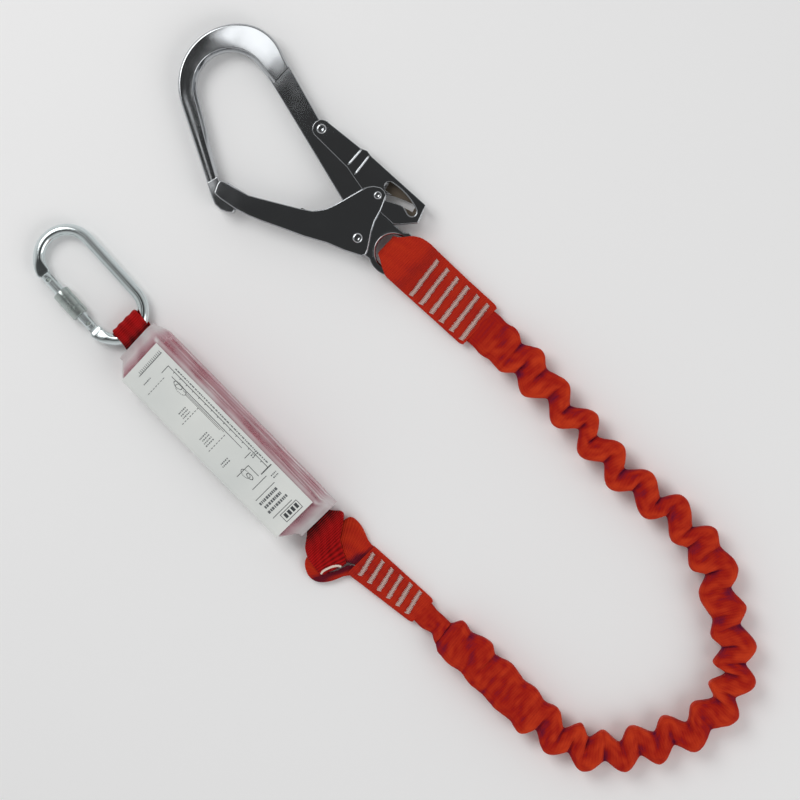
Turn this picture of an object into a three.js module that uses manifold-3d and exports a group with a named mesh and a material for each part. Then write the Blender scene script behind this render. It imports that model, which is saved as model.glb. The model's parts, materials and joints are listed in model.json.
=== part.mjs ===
// Shock absorbing lanyard with a scaffold hook at one end and an oval screwgate karabiner at the other.
// Millimetres, +Z up. The lanyard lies flat on Z = 0; the origin is under the middle of its hard parts.
import * as THREE from 'three';
import * as BufferGeometryUtils from 'three/addons/utils/BufferGeometryUtils.js';
import Module from 'manifold-3d';

const wasm = await Module();
wasm.setup();

const DEG = Math.PI / 180;
const GAP = 0.3; // between pieces that would otherwise touch

// ---- Where each assembly lies ----
const HOOK = { x: 100, y: 58.4, z: 10, yaw: 121 }; // eye centre; local X runs up the shank to the crown
const WEB = { yaw: -43 }; // hook-end webbing, from the hook's eye
const PACK = { x: -36.3, y: -85.4, z: 21.9, yaw: -45.5, roll: 24 }; // middle of the absorber pack
const KARABINER = { x: -142.9, y: 32.6, z: 7.2, yaw: -47.8 }; // middle of the karabiner

// ---- Karabiner ----
const BAR_R = 4.75;
const BOW_R = 22.5; // bar centreline at both bows
const BOW_X = 29.25; // bow centres from the middle
const BOW_STEPS = 9; // odd, so that a flat facet sits at each apex
const KARA_GATE = { r: 4.5, nose: -30.6, hinge: 22, latch: -25.5, slot: 2.3 };
const TANG = { half: 2, r: 4, shoulder: 28 };
const SLEEVE = { r: 7, bore: 4.85, half: 13 };
const PLUNGER = { r: 1.9, from: 10, to: 17.6 };
const GATE_BORE = { r: 2.3, from: -3 };

// ---- Absorber pack ----
const COVER = { half_w: 25, half_t: 14, wall: 1, edge: 4, from: -99.6, to: 104, full_from: -86, full_to: 92 };
const NECK = { half_w: 19.5, z0: -12.5, z1: 4.5, start_y: 1.7, end_y: 5.5, straight: 3.2 };
const CORE = { from: -82, to: 88, half_w: 22, layers: 6, layer: 3.5, slit: 0.6, turn: 5 };
const LABEL = { from: -85, to: 90.7, right: 20.5, low: -5, t: 0.4 };
const STEM = { t: 4.4, half_w: 12 };
const UPPER = { apex_x: -107.5, y: 5.2, half_w: 13, bore: 5.35, strap: 1.75, stem_y: -2, stem_z: 19.1 };
const LOWER = { x: 104, stem_z: 19.9 };

// ---- Lanyard webbing ----
const RING = { z0: 2.6, z1: 5.6 }; // flat strap that passes through the absorber's lower loop
const SEWN = { z0: 1.6, z1: 6.8 };
const TACK = { w: 3, t: 0.5 };
const TACKS = 6;
const HOOK_WEB = { z0: 3, z1: 8.2, top: 16.9, strap: 1.8 };
const TUBE = { d: 26, wall: 3, core: 9, z: 13.3, steps: 26 };

// ---- Scaffold hook, in its own frame with the eye centre at the origin ----
const EYE = { r: 14, outer: 19.8 };
const SHANK_HALF = 4.5;
const ARCH_HALF = 6.7;
const CROWN = { x: 178, y: 37, r: 48.3 };
const HEEL = { x: 187.6, y: 30.3, r: 36.6 };
const THROAT = { x: 180, y: 43, r: 27.5 };
const GATE_AXIS = { x: 23.6, y: 18.5 };
const LEVER_AXIS = { x: 112.8, y: -1.6 };
const GATE_CHEEK = { z0: 7.1, z1: 8.9 };
const GATE_TRAVEL = 36; // degrees, inwards
const LEVER_TRAVEL = 7; // degrees, squeezed towards the shank
const LEVER_LOW = { z0: 4.9, z1: 6.7 }; // cheek under the gate's cheek
const LEVER_HIGH = { z0: 6.3, z1: 8.3 }; // cheek round the pivot
const LEVER_R = 7.3;
const JOGGLE = { x: 67, run: 10, slant: -0.3 }; // where the lever's cheeks step outwards
const LOCK = { x: 44.4, y: -12.7, r: 2.3 };
const SLOT = { r: 48, half: 4.2, from: -63, to: -95 }; // arc in the lever's cheeks, about the gate's axis
const RIVET = { r: 2.8, head: 4, hole: 3.1 };

// ---- Looks ----
const paint = (color, roughness, metalness) => new THREE.MeshStandardMaterial({ color, roughness, metalness });
const chrome = paint(0xa9afb2, 0.12, 1);
const zinc = paint(0xb9c2bf, 0.28, 1);
const dullZinc = paint(0x9aa3a0, 0.5, 1);
const springSteel = paint(0x8d8f8c, 0.35, 1);
const orangeWebbing = paint(0xa02c1c, 0.85, 0);
const redWebbing = paint(0x8c1014, 0.85, 0);
const shrinkSleeve = paint(0xb08a92, 0.35, 0);
const card = paint(0xc8cac6, 0.6, 0);
const thread = paint(0xbcaaa4, 0.8, 0);
const rubber = paint(0xd8c9a8, 0.7, 0);

// ---- Helpers ----
const solidOf = (geometry) => {
  let g = geometry.clone();
  for (const name of Object.keys(g.attributes)) if (name !== 'position') g.deleteAttribute(name);
  g = BufferGeometryUtils.mergeVertices(g, 1e-4);
  const mesh = new wasm.Mesh({
    numProp: 3,
    vertProperties: Float32Array.from(g.attributes.position.array),
    triVerts: Uint32Array.from(g.index.array),
  });
  return new wasm.Manifold(mesh);
};

const geometryOf = (solid) => {
  const mesh = solid.getMesh();
  const g = new THREE.BufferGeometry();
  g.setAttribute('position', new THREE.BufferAttribute(Float32Array.from(mesh.vertProperties), 3));
  g.setIndex(new THREE.BufferAttribute(Uint32Array.from(mesh.triVerts), 1));
  g.computeVertexNormals();
  return g;
};

const polygon = (points) => new THREE.Shape(points.map(([x, y]) => new THREE.Vector2(x, y)));

const disc = (x, y, r) => new THREE.Shape().absarc(x, y, r, 0, 2 * Math.PI, false);

// A flat plate with its outline in XY, from z0 to z1.
const plate = (shape, z0, z1, curveSegments = 20) => {
  const g = new THREE.ExtrudeGeometry(shape, { depth: z1 - z0, curveSegments, bevelEnabled: false });
  g.translate(0, 0, z0);
  return solidOf(g);
};

// A profile drawn in XZ, running from y0 to y1 and shifted along X by slant times Y.
const channel = (shape, y0, y1, slant = 0) => {
  const g = new THREE.ExtrudeGeometry(shape, { depth: y1 - y0, curveSegments: 12, bevelEnabled: false });
  g.rotateX(Math.PI / 2);
  g.translate(0, y1, 0);
  g.applyMatrix4(new THREE.Matrix4().makeShear(0, 0, slant, 0, 0, 0));
  return solidOf(g);
};

// A profile drawn in YZ, running from x0 to x1.
const prism = (shape, x0, x1, curveSegments = 4) => {
  const g = new THREE.ExtrudeGeometry(shape, { depth: x1 - x0, curveSegments, bevelEnabled: false });
  g.rotateY(Math.PI / 2);
  g.rotateX(Math.PI / 2);
  g.translate(x0, 0, 0);
  return solidOf(g);
};

const rod = (r, length, sides = 20) => new THREE.CylinderGeometry(r, r, length, sides);

const rodZ = (x, y, r, z0, z1, sides = 20) => {
  const g = rod(r, z1 - z0, sides).rotateX(Math.PI / 2);
  return solidOf(g.translate(x, y, (z0 + z1) / 2));
};

const rodX = (y, z, r, x0, x1, sides = 20) => {
  const g = rod(r, x1 - x0, sides).rotateZ(Math.PI / 2);
  return solidOf(g.translate((x0 + x1) / 2, y, z));
};

// A pin along Z with a low domed head at each end.
const rivet = (r, head, half, thick) => {
  const profile = [
    [0, -half],
    [head * 0.7, -half],
    [head, -half + thick * 0.6],
    [head, -half + thick],
    [r, -half + thick],
    [r, half - thick],
    [head, half - thick],
    [head, half - thick * 0.6],
    [head * 0.7, half],
    [0, half],
  ].map(([x, y]) => new THREE.Vector2(x, y));
  return new THREE.LatheGeometry(profile, 20).rotateX(Math.PI / 2);
};

// Straight pieces between given stations, so that a bend's facets fall where they are wanted.
class StationPath extends THREE.Curve {
  constructor(stations) {
    super();
    this.stations = stations;
  }
  getPoint(t, target = new THREE.Vector3()) {
    const last = this.stations.length - 1;
    const i = Math.min(last - 1, Math.floor(t * last));
    return target.copy(this.stations[i]).lerp(this.stations[i + 1], t * last - i);
  }
  getPointAt(u, target) {
    return this.getPoint(u, target);
  }
  getTangentAt(u, target = new THREE.Vector3()) {
    const last = this.stations.length - 1;
    const i = Math.round(u * last);
    const before = this.stations[Math.max(0, i - 1)];
    const after = this.stations[Math.min(last, i + 1)];
    return target.subVectors(after, before).normalize();
  }
}

const sectionOf = (r, sides) => {
  const points = [];
  for (let i = 0; i < sides; i++) {
    const a = ((i + 0.5) / sides) * 2 * Math.PI;
    points.push(new THREE.Vector2(r * Math.cos(a), r * Math.sin(a)));
  }
  return points;
};

const sweep = (path, steps, r, sides, bore = 0) => {
  const shape = new THREE.Shape(sectionOf(r, sides));
  if (bore > 0) shape.holes.push(new THREE.Path(sectionOf(bore, sides)));
  return new THREE.ExtrudeGeometry(shape, { steps, extrudePath: path, bevelEnabled: false });
};

// A coil of round wire round the X axis.
class Helix extends THREE.Curve {
  constructor(r, length, turns) {
    super();
    Object.assign(this, { r, length, turns });
  }
  getPoint(t, target = new THREE.Vector3()) {
    const a = 2 * Math.PI * this.turns * t;
    return target.set(this.length * t, this.r * Math.cos(a), this.r * Math.sin(a));
  }
}

const coil = (r, wire, length, turns) => sweep(new Helix(r, length, turns), turns * 10, wire, 6);

// A slot: what a disc of radius half cuts as it moves along a line of points.
const slotCut = (points, half, z0, z1) => {
  const last = points.length - 1;
  const heading = points.map((p, i) => {
    const [ax, ay] = points[Math.max(0, i - 1)];
    const [bx, by] = points[Math.min(last, i + 1)];
    return Math.atan2(by - ay, bx - ax);
  });
  const around = (i, angle) => [points[i][0] + half * Math.cos(angle), points[i][1] + half * Math.sin(angle)];
  const outline = [];
  for (let i = 0; i <= last; i++) outline.push(around(i, heading[i] - Math.PI / 2));
  for (let k = 1; k < 8; k++) outline.push(around(last, heading[last] - Math.PI / 2 + (k / 8) * Math.PI));
  for (let i = last; i >= 0; i--) outline.push(around(i, heading[i] + Math.PI / 2));
  for (let k = 1; k < 8; k++) outline.push(around(0, heading[0] + Math.PI / 2 + (k / 8) * Math.PI));
  return plate(polygon(outline), z0, z1);
};

const turned = ([x, y], about, degrees) => {
  const c = Math.cos(degrees * DEG);
  const s = Math.sin(degrees * DEG);
  const dx = x - about.x;
  const dy = y - about.y;
  return [about.x + c * dx - s * dy, about.y + s * dx + c * dy];
};

const model = new THREE.Group();

const assembly = ({ x = 0, y = 0, z = 0, yaw = 0, roll = 0 }, parent = model) => {
  const group = new THREE.Group();
  group.position.set(x, y, z);
  group.rotation.set(roll * DEG, 0, yaw * DEG, 'ZYX');
  parent.add(group);
  return group;
};

const put = (group, name, shape, material) => {
  const geometry = shape.isBufferGeometry ? shape : geometryOf(shape);
  const mesh = new THREE.Mesh(geometry, material);
  mesh.name = name;
  group.add(mesh);
  return mesh;
};

// ================= Karabiner =================
const karabiner = assembly(KARABINER);
{
  const arc = (cx, from, to) => {
    const points = [];
    for (let i = 0; i <= BOW_STEPS; i++) {
      const a = (from + ((to - from) * i) / BOW_STEPS) * DEG;
      points.push(new THREE.Vector3(cx + BOW_R * Math.cos(a), BOW_R * Math.sin(a), 0));
    }
    return points;
  };
  const noseBow = arc(-BOW_X, 270, 90);
  noseBow[0].lerp(noseBow[1], 0.34); // the bar stops where the gate's nose closes on it
  const stations = [...noseBow, ...arc(BOW_X, 90, -90), new THREE.Vector3(TANG.shoulder, -BOW_R, 0)];
  const bar = solidOf(sweep(new StationPath(stations), stations.length - 1, BAR_R, 12));

  const hingeTang = new THREE.Shape();
  hingeTang.moveTo(TANG.shoulder + 3, -BOW_R + 3.6);
  hingeTang.lineTo(KARA_GATE.hinge, -BOW_R + TANG.r);
  hingeTang.absarc(KARA_GATE.hinge, -BOW_R, TANG.r, Math.PI / 2, 1.5 * Math.PI, false);
  hingeTang.lineTo(TANG.shoulder + 3, -BOW_R - 3.6);
  const noseTang = polygon([
    [-34, -BOW_R - 3.4],
    [-22.4, -BOW_R - 3.4],
    [-21.6, -BOW_R - 2.6],
    [-21.6, -BOW_R + 2.6],
    [-22.4, -BOW_R + 3.4],
    [-34, -BOW_R + 3.4],
  ]);
  const latchSlot = slotCut([[KARA_GATE.latch, -BOW_R], [KARA_GATE.latch, -BOW_R + 8]], 2.05, -3, 3);
  const body = bar
    .add(plate(hingeTang, -TANG.half, TANG.half, 16))
    .add(plate(noseTang, -TANG.half, TANG.half).subtract(latchSlot))
    .subtract(rodZ(KARA_GATE.hinge, -BOW_R, 1.95, -3, 3));
  put(karabiner, 'karabiner_body', body, zinc);

  const big = 12;
  const round = new THREE.Shape();
  round.moveTo(-40, -BOW_R - big);
  round.lineTo(KARA_GATE.hinge, -BOW_R - big);
  round.lineTo(KARA_GATE.hinge, -BOW_R - 5.2);
  round.absarc(KARA_GATE.hinge, -BOW_R, 5.2, -Math.PI / 2, Math.PI / 2, false);
  round.lineTo(KARA_GATE.hinge, -BOW_R + big);
  round.lineTo(-40, -BOW_R + big);
  const slotBox = (x0, x1) => plate(
    polygon([[x0, -BOW_R - 6], [x1, -BOW_R - 6], [x1, -BOW_R + 6], [x0, -BOW_R + 6]]),
    -KARA_GATE.slot,
    KARA_GATE.slot,
  );
  const gate = rodX(-BOW_R, 0, KARA_GATE.r, KARA_GATE.nose, 28, 28)
    .intersect(plate(round, -6, 6))
    .subtract(slotBox(-32, -20))
    .subtract(slotBox(16.5, 30))
    .subtract(rodX(-BOW_R, 0, GATE_BORE.r, GATE_BORE.from, 18, 16))
    .subtract(rodZ(KARA_GATE.hinge, -BOW_R, 1.95, -6, 6))
    .subtract(rodZ(KARA_GATE.latch, -BOW_R, 1.85, -6, 6));
  put(karabiner, 'karabiner_gate', gate, zinc);

  const pin = (x, r, half) => rod(r, 2 * half, 16).rotateX(Math.PI / 2).translate(x, -BOW_R, 0);
  put(karabiner, 'karabiner_gate_rivet', pin(KARA_GATE.hinge, 1.6, 4.6), dullZinc);
  put(karabiner, 'karabiner_latch_pin', pin(KARA_GATE.latch, 1.5, 4.3), dullZinc);

  const plunger = rod(PLUNGER.r, PLUNGER.to - PLUNGER.from, 16).rotateZ(Math.PI / 2);
  plunger.translate((PLUNGER.from + PLUNGER.to) / 2, -BOW_R, 0);
  put(karabiner, 'karabiner_plunger', plunger, springSteel);
  const spring = coil(1.5, 0.4, PLUNGER.from - GATE_BORE.from - 1.6, 6);
  spring.translate(GATE_BORE.from + 0.8, -BOW_R, 0);
  put(karabiner, 'karabiner_gate_spring', spring, springSteel);

  const s = SLEEVE;
  const sleeve = new THREE.LatheGeometry([
    [s.bore, -s.half],
    [s.r - 0.8, -s.half],
    [s.r, -s.half + 0.8],
    [s.r, s.half - 0.8],
    [s.r - 0.8, s.half],
    [s.bore, s.half],
    [s.bore, -s.half],
  ].map(([x, y]) => new THREE.Vector2(x, y)), 28);
  sleeve.rotateZ(Math.PI / 2).translate(0, -BOW_R, 0);
  put(karabiner, 'karabiner_screw_sleeve', sleeve, dullZinc);
}

// ================= Absorber pack =================
const pack = assembly(PACK);
const packLevel = assembly({ x: PACK.x, y: PACK.y, yaw: PACK.yaw }); // same heading, not rolled
{
  const coverSolid = (inset, over) => {
    const c = COVER;
    const w = c.half_w - inset;
    const t = c.half_t - inset;
    const nw = NECK.half_w - inset;
    const x0 = c.from - over;
    const x1 = c.to + over;
    const n0 = c.from + NECK.straight;
    const n1 = c.to - NECK.straight;
    const [z0, z1] = [NECK.z0 + inset, NECK.z1 - inset];
    const side = polygon([
      [x0, z0], [n0, z0], [c.full_from + 2, -t], [c.full_to - 2, -t], [n1, z0], [x1, z0],
      [x1, z1], [n1, z1], [c.full_to, t], [c.full_from, t], [n0, z1], [x0, z1],
    ]);
    const [a, b] = [NECK.start_y, NECK.end_y];
    const top = polygon([
      [x0, a - nw], [n0, a - nw], [c.full_from, -w], [c.full_to, -w], [n1, b - nw], [x1, b - nw],
      [x1, b + nw], [n1, b + nw], [c.full_to, w], [c.full_from, w], [n0, a + nw], [x0, a + nw],
    ]);
    const e = c.edge - inset;
    const section = new THREE.Shape();
    section.moveTo(w, -t + e);
    section.absarc(w - e, t - e, e, 0, Math.PI / 2, false);
    section.absarc(-w + e, t - e, e, Math.PI / 2, Math.PI, false);
    section.absarc(-w + e, -t + e, e, Math.PI, 1.5 * Math.PI, false);
    section.absarc(w - e, -t + e, e, 1.5 * Math.PI, 2 * Math.PI, false);
    return channel(side, -w - 1, w + 1)
      .intersect(plate(top, -t - 1, t + 1))
      .intersect(prism(section, x0 - 1, x1 + 1));
  };
  put(pack, 'absorber_cover', coverSolid(0, 0).subtract(coverSolid(COVER.wall, 5)), shrinkSleeve);

  // Tear webbing folded back and forth: slits from alternate ends leave one long ribbon.
  const box = (x0, x1, z0, z1) => channel(polygon([[x0, z0], [x1, z0], [x1, z1], [x0, z1]]), -30, 30);
  const height = CORE.layers * CORE.layer + (CORE.layers - 1) * CORE.slit;
  const corners = polygon([
    [CORE.from, -height / 2 + 1], [CORE.from + 1, -height / 2], [CORE.to - 1, -height / 2],
    [CORE.to, -height / 2 + 1], [CORE.to, height / 2 - 1], [CORE.to - 1, height / 2],
    [CORE.from + 1, height / 2], [CORE.from, height / 2 - 1],
  ]);
  let core = channel(corners, -CORE.half_w, CORE.half_w);
  for (let i = 1; i < CORE.layers; i++) {
    const z = -height / 2 + i * (CORE.layer + CORE.slit) - CORE.slit;
    const fromStart = i % 2 === 0;
    core = core.subtract(box(
      fromStart ? CORE.from - 5 : CORE.from + CORE.turn,
      fromStart ? CORE.to - CORE.turn : CORE.to + 5,
      z,
      z + CORE.slit,
    ));
  }
  put(pack, 'absorber_tear_webbing', core, redWebbing);

  // Card wrapped over the top face and down one side.
  const [w, t, e] = [COVER.half_w + GAP, COVER.half_t + GAP, COVER.edge + GAP];
  const wrap = new THREE.Shape();
  wrap.moveTo(LABEL.right, t);
  wrap.lineTo(LABEL.right, t + LABEL.t);
  wrap.absarc(-w + e, t - e, e + LABEL.t, Math.PI / 2, Math.PI, false);
  wrap.lineTo(-w - LABEL.t, LABEL.low);
  wrap.lineTo(-w, LABEL.low);
  wrap.absarc(-w + e, t - e, e, Math.PI, Math.PI / 2, true);
  put(pack, 'absorber_label', prism(wrap, LABEL.from, LABEL.to, 6), card);

  // Upper loop, round the karabiner's bow. Profile coordinates start at the bow's apex.
  const bowZ = KARABINER.z;
  const turnX = -6.15;
  const inner = UPPER.bore;
  const outer = inner + UPPER.strap;
  const [s0, s1] = [UPPER.stem_z - STEM.t / 2, UPPER.stem_z + STEM.t / 2];
  const strap = new THREE.Shape();
  strap.moveTo(25, s1);
  strap.lineTo(6, s1);
  strap.lineTo(0, 17);
  strap.lineTo(-4.5, bowZ + outer);
  strap.absarc(turnX, bowZ, outer, Math.PI / 2, 1.5 * Math.PI, false);
  strap.absarc(3, bowZ - outer + 4.1, 4.1, -Math.PI / 2, 0, false);
  strap.lineTo(7.1, 13.5);
  strap.lineTo(8.2, s0);
  strap.lineTo(25, s0);
  const bore = new THREE.Path();
  bore.absarc(turnX, bowZ, inner, Math.PI / 2, 1.5 * Math.PI, false);
  bore.lineTo(2.9, bowZ - inner);
  bore.lineTo(5.3, bowZ - inner + 2.4);
  bore.lineTo(5.3, 13);
  bore.lineTo(4.9, 17.4);
  bore.lineTo(1.6, 15.2);
  bore.lineTo(-3.6, bowZ + inner);
  strap.holes.push(bore);
  const h = UPPER.half_w;
  const plan = polygon([
    [-14, -h + 2], [-12, -h], [4, -h], [8, UPPER.stem_y - STEM.half_w], [26, UPPER.stem_y - STEM.half_w],
    [26, UPPER.stem_y + STEM.half_w], [8, UPPER.stem_y + STEM.half_w], [4, h], [-12, h], [-14, h - 2],
  ]);
  const upper = channel(strap, -20, 20).intersect(plate(plan, -5, 40));
  put(packLevel, 'absorber_upper_loop', upper, redWebbing).position.set(UPPER.apex_x, UPPER.y, 0);

  // Lower loop, linked with the lanyard's own loop. Profile coordinates start at the cover's end.
  const [l0, l1] = [LOWER.stem_z - STEM.t / 2, LOWER.stem_z + STEM.t / 2];
  const tail = new THREE.Shape();
  tail.moveTo(-15.5, l1);
  tail.lineTo(-15.5, l0);
  tail.lineTo(0, l0);
  tail.lineTo(1.5, 15);
  tail.lineTo(4, 9.5);
  tail.lineTo(8, 3);
  tail.lineTo(13, 0.2);
  tail.absarc(31.5, 4.1, 3.9, -Math.PI / 2, Math.PI / 2, false);
  tail.lineTo(21, 8);
  tail.lineTo(17, 8.4);
  tail.lineTo(12, 11);
  tail.lineTo(6, 17.5);
  tail.lineTo(1, l1);
  const eye = new THREE.Path();
  eye.moveTo(13.2, 2);
  eye.lineTo(31.5, 2);
  eye.absarc(31.5, 4.1, 2.1, -Math.PI / 2, Math.PI / 2, false);
  eye.lineTo(20.5, 6.2);
  eye.lineTo(16, 6.8);
  eye.lineTo(11, 9.8);
  eye.lineTo(8.5, 12.2);
  eye.lineTo(6.5, 11.2);
  eye.lineTo(9, 5.6);
  tail.holes.push(eye);
  const tailPlan = polygon([
    [-16, -6.5], [0, -6.5], [4, -12], [9, -19], [16, -23.5], [30, -25.5], [36, -24],
    [36, -8], [31, -2], [28, 8], [22, 21], [14, 24.5], [7, 22.5], [2, 18], [0, 17.5], [-16, 17.5],
  ]);
  const lower = channel(tail, -30, 30).intersect(plate(tailPlan, -5, 40));
  put(packLevel, 'absorber_lower_loop', lower, redWebbing).position.set(LOWER.x, 0, 0);
}

// ================= Lanyard loop at the absorber =================
const tackGeometry = (length) => new THREE.BoxGeometry(TACK.w, length, TACK.t);
const absorberEnd = assembly({ x: LOWER.x }, packLevel);
{
  const outline = polygon([
    [14.5, 23], [15.5, 26.5], [27.5, 26], [41.5, 20.5], [49, 21.5], [60, 22.2],
    [60, -7.5], [52, -9.3], [47, -12.5], [43.5, -22], [39.3, -28.5], [33.7, -33],
    [26.2, -33.7], [17.8, -29.5], [14.5, -26],
  ]);
  outline.holes.push(new THREE.Path([
    [32.3, -26.3], [36, -26], [37.6, -20], [40, -8], [40.4, -3], [38, 1], [32.3, 1],
  ].map(([x, y]) => new THREE.Vector2(x, y))));
  const sewn = polygon([[50, -9.2], [112, -0.5], [112, 25.6], [50, 21.6]]);
  const loop = plate(outline, RING.z0, RING.z1).add(plate(sewn, SEWN.z0, SEWN.z1));
  put(absorberEnd, 'lanyard_absorber_loop', loop, orangeWebbing);
  for (let i = 0; i < TACKS; i++) {
    const tack = tackGeometry(21);
    const mesh = put(absorberEnd, `absorber_end_tack_${i + 1}`, tack, thread);
    mesh.position.set(53 + 9.6 * i, 7.2 + 1.1 * i, SEWN.z1 + GAP + TACK.t / 2);
    mesh.rotation.z = 14 * DEG;
  }
}

// ================= Lanyard loop at the hook =================
const hookWeb = assembly({ x: HOOK.x, y: HOOK.y, yaw: WEB.yaw });
{
  const mid = HOOK.z;
  const outer = HOOK_WEB.top - mid;
  const inner = outer - HOOK_WEB.strap;
  const strap = new THREE.Shape();
  strap.moveTo(93, HOOK_WEB.z1);
  strap.lineTo(29.5, HOOK_WEB.z1);
  strap.lineTo(21.5, 16);
  strap.lineTo(18.5, mid + outer);
  strap.absarc(-1.8, mid, outer, Math.PI / 2, 1.5 * Math.PI, false);
  strap.lineTo(93, HOOK_WEB.z0);
  const bore = new THREE.Path();
  bore.absarc(-1.8, mid, inner, Math.PI / 2, 1.5 * Math.PI, false);
  bore.lineTo(22.5, mid - inner);
  bore.lineTo(25, 6.5);
  bore.lineTo(26, 8.5);
  bore.lineTo(20.4, 14.4);
  bore.lineTo(18, mid + inner);
  strap.holes.push(bore);
  const plan = polygon([
    [-9, -9], [-9, 9], [-4, 11.5], [3, 20.5], [9, 24], [17, 25.2], [60, 24.6], [93, 25],
    [91, -17.2], [60, -17.6], [25, -18.4], [9, -18.6], [2, -15], [-4, -11],
  ]);
  const loop = channel(strap, -40, 40).intersect(plate(plan, -5, 40));
  put(hookWeb, 'lanyard_hook_loop', loop, orangeWebbing);
  for (let i = 0; i < TACKS; i++) {
    const mesh = put(hookWeb, `hook_end_tack_${i + 1}`, tackGeometry(36), thread);
    mesh.position.set(32.5 + 10.7 * i, 2 + 0.3 * i, HOOK_WEB.z1 + GAP + TACK.t / 2);
    mesh.rotation.z = 5.5 * DEG;
  }
}

// ================= Elastic webbing between the two loops =================
{
  const route = [
    [124.6, -231.2], [138.2, -245.1], [161.8, -262.8], [181.2, -281.6], [200.3, -300.8], [219.7, -318.6],
    [241.1, -334], [267, -341.8], [293.5, -337.5], [319.5, -330], [344.5, -319.5], [363.8, -300.9],
    [373.2, -275.8], [371.3, -249.1], [363.2, -223.6], [358.6, -196.7], [345, -174.4], [327.4, -154.6],
    [305.8, -138.2], [285.5, -120.4], [266.9, -101], [250.2, -80.4], [231.4, -60.6], [213.4, -41],
    [195, -22.5], [171, -2.5],
  ];
  const line = new THREE.CatmullRomCurve3(route.map(([x, y]) => new THREE.Vector3(x, y, TUBE.z)));
  const bore = TUBE.d / 2 - TUBE.wall;
  put(model, 'elastic_webbing', sweep(line, TUBE.steps, TUBE.d / 2, 12, bore), orangeWebbing);
  put(model, 'elastic_core', sweep(line, TUBE.steps, TUBE.core / 2, 8), rubber);
}

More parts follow.
